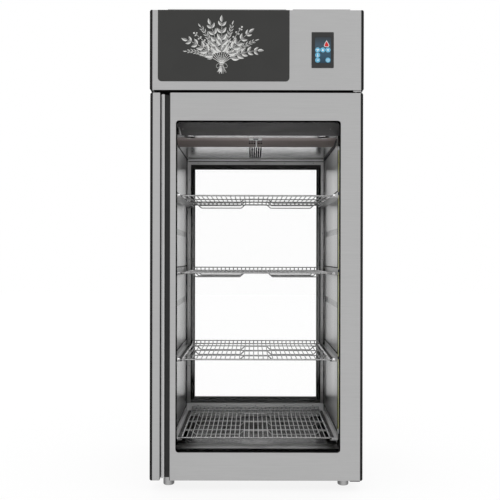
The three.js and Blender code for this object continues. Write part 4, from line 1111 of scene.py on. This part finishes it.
def make_air_guide():
    """Satin skin of the slope, coloured as a painted reflection, with its row of slots, and the clip plate at
    its front; the black strips behind the slots are painted shade.
    """
    skin, black, plate = 0, 1, 2
    bm = bmesh.new()
    middles = [SLOTS_MIDDLE + (i - (SLOTS - 1) / 2) * SLOT_PITCH for i in range(SLOTS)]
    edges = [-SKIN_SIDE] + [x + k for x in middles for k in (-SLOT_HALF, SLOT_HALF)] + [SKIN_SIDE]
    outline = [(SKIN_START, 0.1), (SKIN_START, 0.9), (129, 1.2), (258, 1.2), (SKIN_END, 0.8), (SKIN_END, 0.1)]
    for x in zip(edges[::2], edges[1::2]):
        lofted(bm, [(d, on_slope(d, drop)) for d, drop in outline], *x, skin)
    for x in zip(edges[1:-1:2], edges[2:-1:2]):
        for d in ((SKIN_START, 159), (177, 193), (216, SKIN_END)):
            slope_plate(bm, x, d, (0.1, 0.9), skin)
        # Black strip behind each slot: painted shade for the dark duct inside
        slope_plate(bm, x, (150, 220), (0.02, 0.1), black)
    slope_plate(bm, (-32, 24), (129, 157), (1.3, 2.2), plate)
    slope_plate(bm, (-14, 8), (132, 144), (2.3, 2.6), black)
    slope_plate(bm, (-2.5, 1.9), (157, 259), (1.3, 2.0), plate)
    piece = new_piece("air_guide", bm, [slope_reflection_look, slot_black, guide_plate], "cabinet")


def make_vent_gauze():
    """Dark gauze over the slots of the ceiling, with the gasket band, trim and clip behind them."""
    bm = bmesh.new()
    bar(bm, (-44, 36), (270, 602), (1479.2, 1480), 0)
    wires, pitch, thick = 42, 7.8, 1.2
    for i in range(wires):
        d = 274 + i * pitch
        bar(bm, (-40, 32), (d, d + thick), (1478.8, 1479.3), 0)
    band = [(596, 1476.8), (597.5, 1475.4), (634.5, 1475.4), (636, 1476.8)]
    lofted(bm, band, -350, 346, 1)
    bar(bm, (-348, 345), (636.2, 637.8), (1466.8, 1474.6), 2)
    bar(bm, (-86, 24), (635.4, 636.4), (1468, 1473), 3)
    piece = new_piece("vent_gauze", bm, [black_inside, gasket_band, dull_steel, clip_steel], "cabinet")


def make_wall_ribs():
    """Two shallow ribs pressed into each side wall, in darker steel that is painted shade."""
    back, foot, crest = ROOM_SIDE - 0.02, ROOM_SIDE - 0.1, ROOM_SIDE - 1.0
    slope = 3
    bm = bmesh.new()
    for side in SIDES:
        for low, high in ((752, 779), (1075, 1102)):
            rise = [(back, low), (foot, low), (crest, low + slope)]
            fall = [(crest, high - slope), (foot, high), (back, high)]
            prism(bm, [(side * x, z) for x, z in rise + fall], 152, 632)
    piece = new_piece("wall_ribs", bm, [rib_steel], "cabinet")


def make_sill():
    """Glossy black sill on the floor of the jamb."""
    floor, top = 157.1, 157.9
    bm = bmesh.new()
    outline = [(71, floor), (71, floor + 0.4), (71.6, top), (144, top), (145, floor + 0.3), (145, floor)]
    lofted(bm, outline, -354.8, 354.8)
    piece = new_piece("jamb_sill", bm, [jamb_gloss], "cabinet")


def make_kick_strip():
    """Satin strip on the rear wall below the window."""
    face, back = REAR_WALL - 1.6, REAR_WALL - 0.1
    bm = bmesh.new()
    lofted(bm, [(face, 162), (back, 160.6), (back, 226.4), (face, KICK_TOP)], -350, 346)
    piece = new_piece("kick_strip", bm, [kick_steel], "cabinet")


def make_glazing_lip():
    """Black lip behind the left edge of the door's glass."""
    bm = bmesh.new()
    box(bm, (-336.45, -336.0), (38, 49.8), (180, 1524), 0.15)
    piece = new_piece("glazing_lip", bm, [black_inside], "door")


def make_fascia_clip():
    """Folded clip at the left end of the fascia."""
    bm = bmesh.new()
    prism(bm, [(-334, 1531), (-330.6, 1532), (-321, 1498), (-328, 1498)], 70.6, FASCIA_FACE)
    prism(bm, [(-342, 1498), (-321, 1498), (-321, 1495.6), (-342, 1495.6)], 70.6, 75.2)
    piece = new_piece("fascia_clip", bm, [clip_steel], "cabinet")


for hand, side in HANDS:
    make_light_bar(hand, side)
    make_lamp(hand, side)
make_seams()
make_noses()
make_rivets()
make_beads()
make_air_guide()
make_vent_gauze()
make_wall_ribs()
make_sill()
make_kick_strip()
make_glazing_lip()
make_fascia_clip()


# Feet, in millimetres

FOOT_RADIUS = 23.75
FOOT_EDGE = 6  # rounding of the lower edge
FOOT_TOP = 49.6
STEM_RADIUS = 6
STEM_TOP = 80


def make_foot(name, x, d):
    """A turned foot with a rounded edge, a groove and its stem."""
    bm = bmesh.new()
    r = FOOT_RADIUS
    turn = [math.radians(15 * i) for i in range(7)]
    edge = [(r - FOOT_EDGE * (1 - math.sin(a)), FOOT_EDGE * (1 - math.cos(a))) for a in turn]
    groove = [(r, 36), (r - 0.9, 36.8), (r - 0.9, 38.2), (r, 39)]
    collar = [(r, FOOT_TOP - 1), (r - 1, FOOT_TOP), (STEM_RADIUS, FOOT_TOP)]
    stem = [(STEM_RADIUS, STEM_TOP - 2), (STEM_RADIUS - 1, STEM_TOP), (0, STEM_TOP)]
    turned(bm, [(0, 0)] + edge + groove + collar + stem, (x, d), 56)
    piece = new_piece(f"turned_foot_{name}", bm, [steel_foot], f"foot_{name}")
    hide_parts(f"foot_{name}")


for row, depth in FOOT_DEPTHS:
    for hand, side in HANDS:
        make_foot(f"{row}_{hand}", side * FOOT_X, depth)


# Softened edges on the sheet metal and profiles


def soften(width, names):
    for name in names:
        modifier = nodes[name].modifiers.new("edges", "BEVEL")
        modifier.width = width * MM
        modifier.segments = 2
        modifier.limit_method = "ANGLE"
        modifier.angle_limit = math.radians(40)
        modifier.harden_normals = True


FINE_EDGES = "door_skin header_fascia handle_profile display_bezel ceiling_fascia rear_window_frame"
FULL_EDGES = "roof_lid_left roof_lid_right upper_hinge_bracket lower_hinge_bracket control_box drip_tray"

soften(0.5, FINE_EDGES.split())
soften(0.8, FULL_EDGES.split())
soften(0.4, RUNNERS)


# Floor and light

FLOOR_HALF = 14  # metres
SHOWN_GREY = 0.15  # the floor's own colour as the camera and reflections see it
GLOW = 0.86
WHITE_LIGHT = (1, 1, 1, 1)


def grey(value):
    return (value, value, value, 1)


def floor_look():
    """A glowing white floor, which throws back light as plain pale grey does."""
    m = Material("floor", 0.9, 0.0, Specular_IOR_Level=0.0, Emission_Color=WHITE_LIGHT)
    rays = m.node("ShaderNodeLightPath").outputs
    seen = m.compute("MAXIMUM", rays["Is Camera Ray"], rays["Is Glossy Ray"])
    seen = m.compute("MAXIMUM", seen, rays["Is Transmission Ray"])
    thrown = m.between(m.noise(0.6, detail=1.0), grey(0.78), grey(0.8))
    m.colour(m.mixed(seen, thrown, grey(SHOWN_GREY)))
    m.link(m.compute("MULTIPLY", seen, GLOW), "Emission Strength")
    return m.data


bm = bmesh.new()
bmesh.ops.create_grid(bm, x_segments=1, y_segments=1, size=FLOOR_HALF)
mesh = bpy.data.meshes.new("floor")
bm.to_mesh(mesh)
bm.free()
mesh.materials.append(floor_look())
floor = bpy.data.objects.new("floor", mesh)
scene.collection.objects.link(floor)

world = bpy.data.worlds.new("world")
scene.world = world
world.use_nodes = True
background = world.node_tree.nodes["Background"]
background.inputs["Color"].default_value = WHITE_LIGHT
background.inputs["Strength"].default_value = 1.0

scene.view_settings.view_transform = "Standard"
scene.cycles.transparent_max_bounces = 32
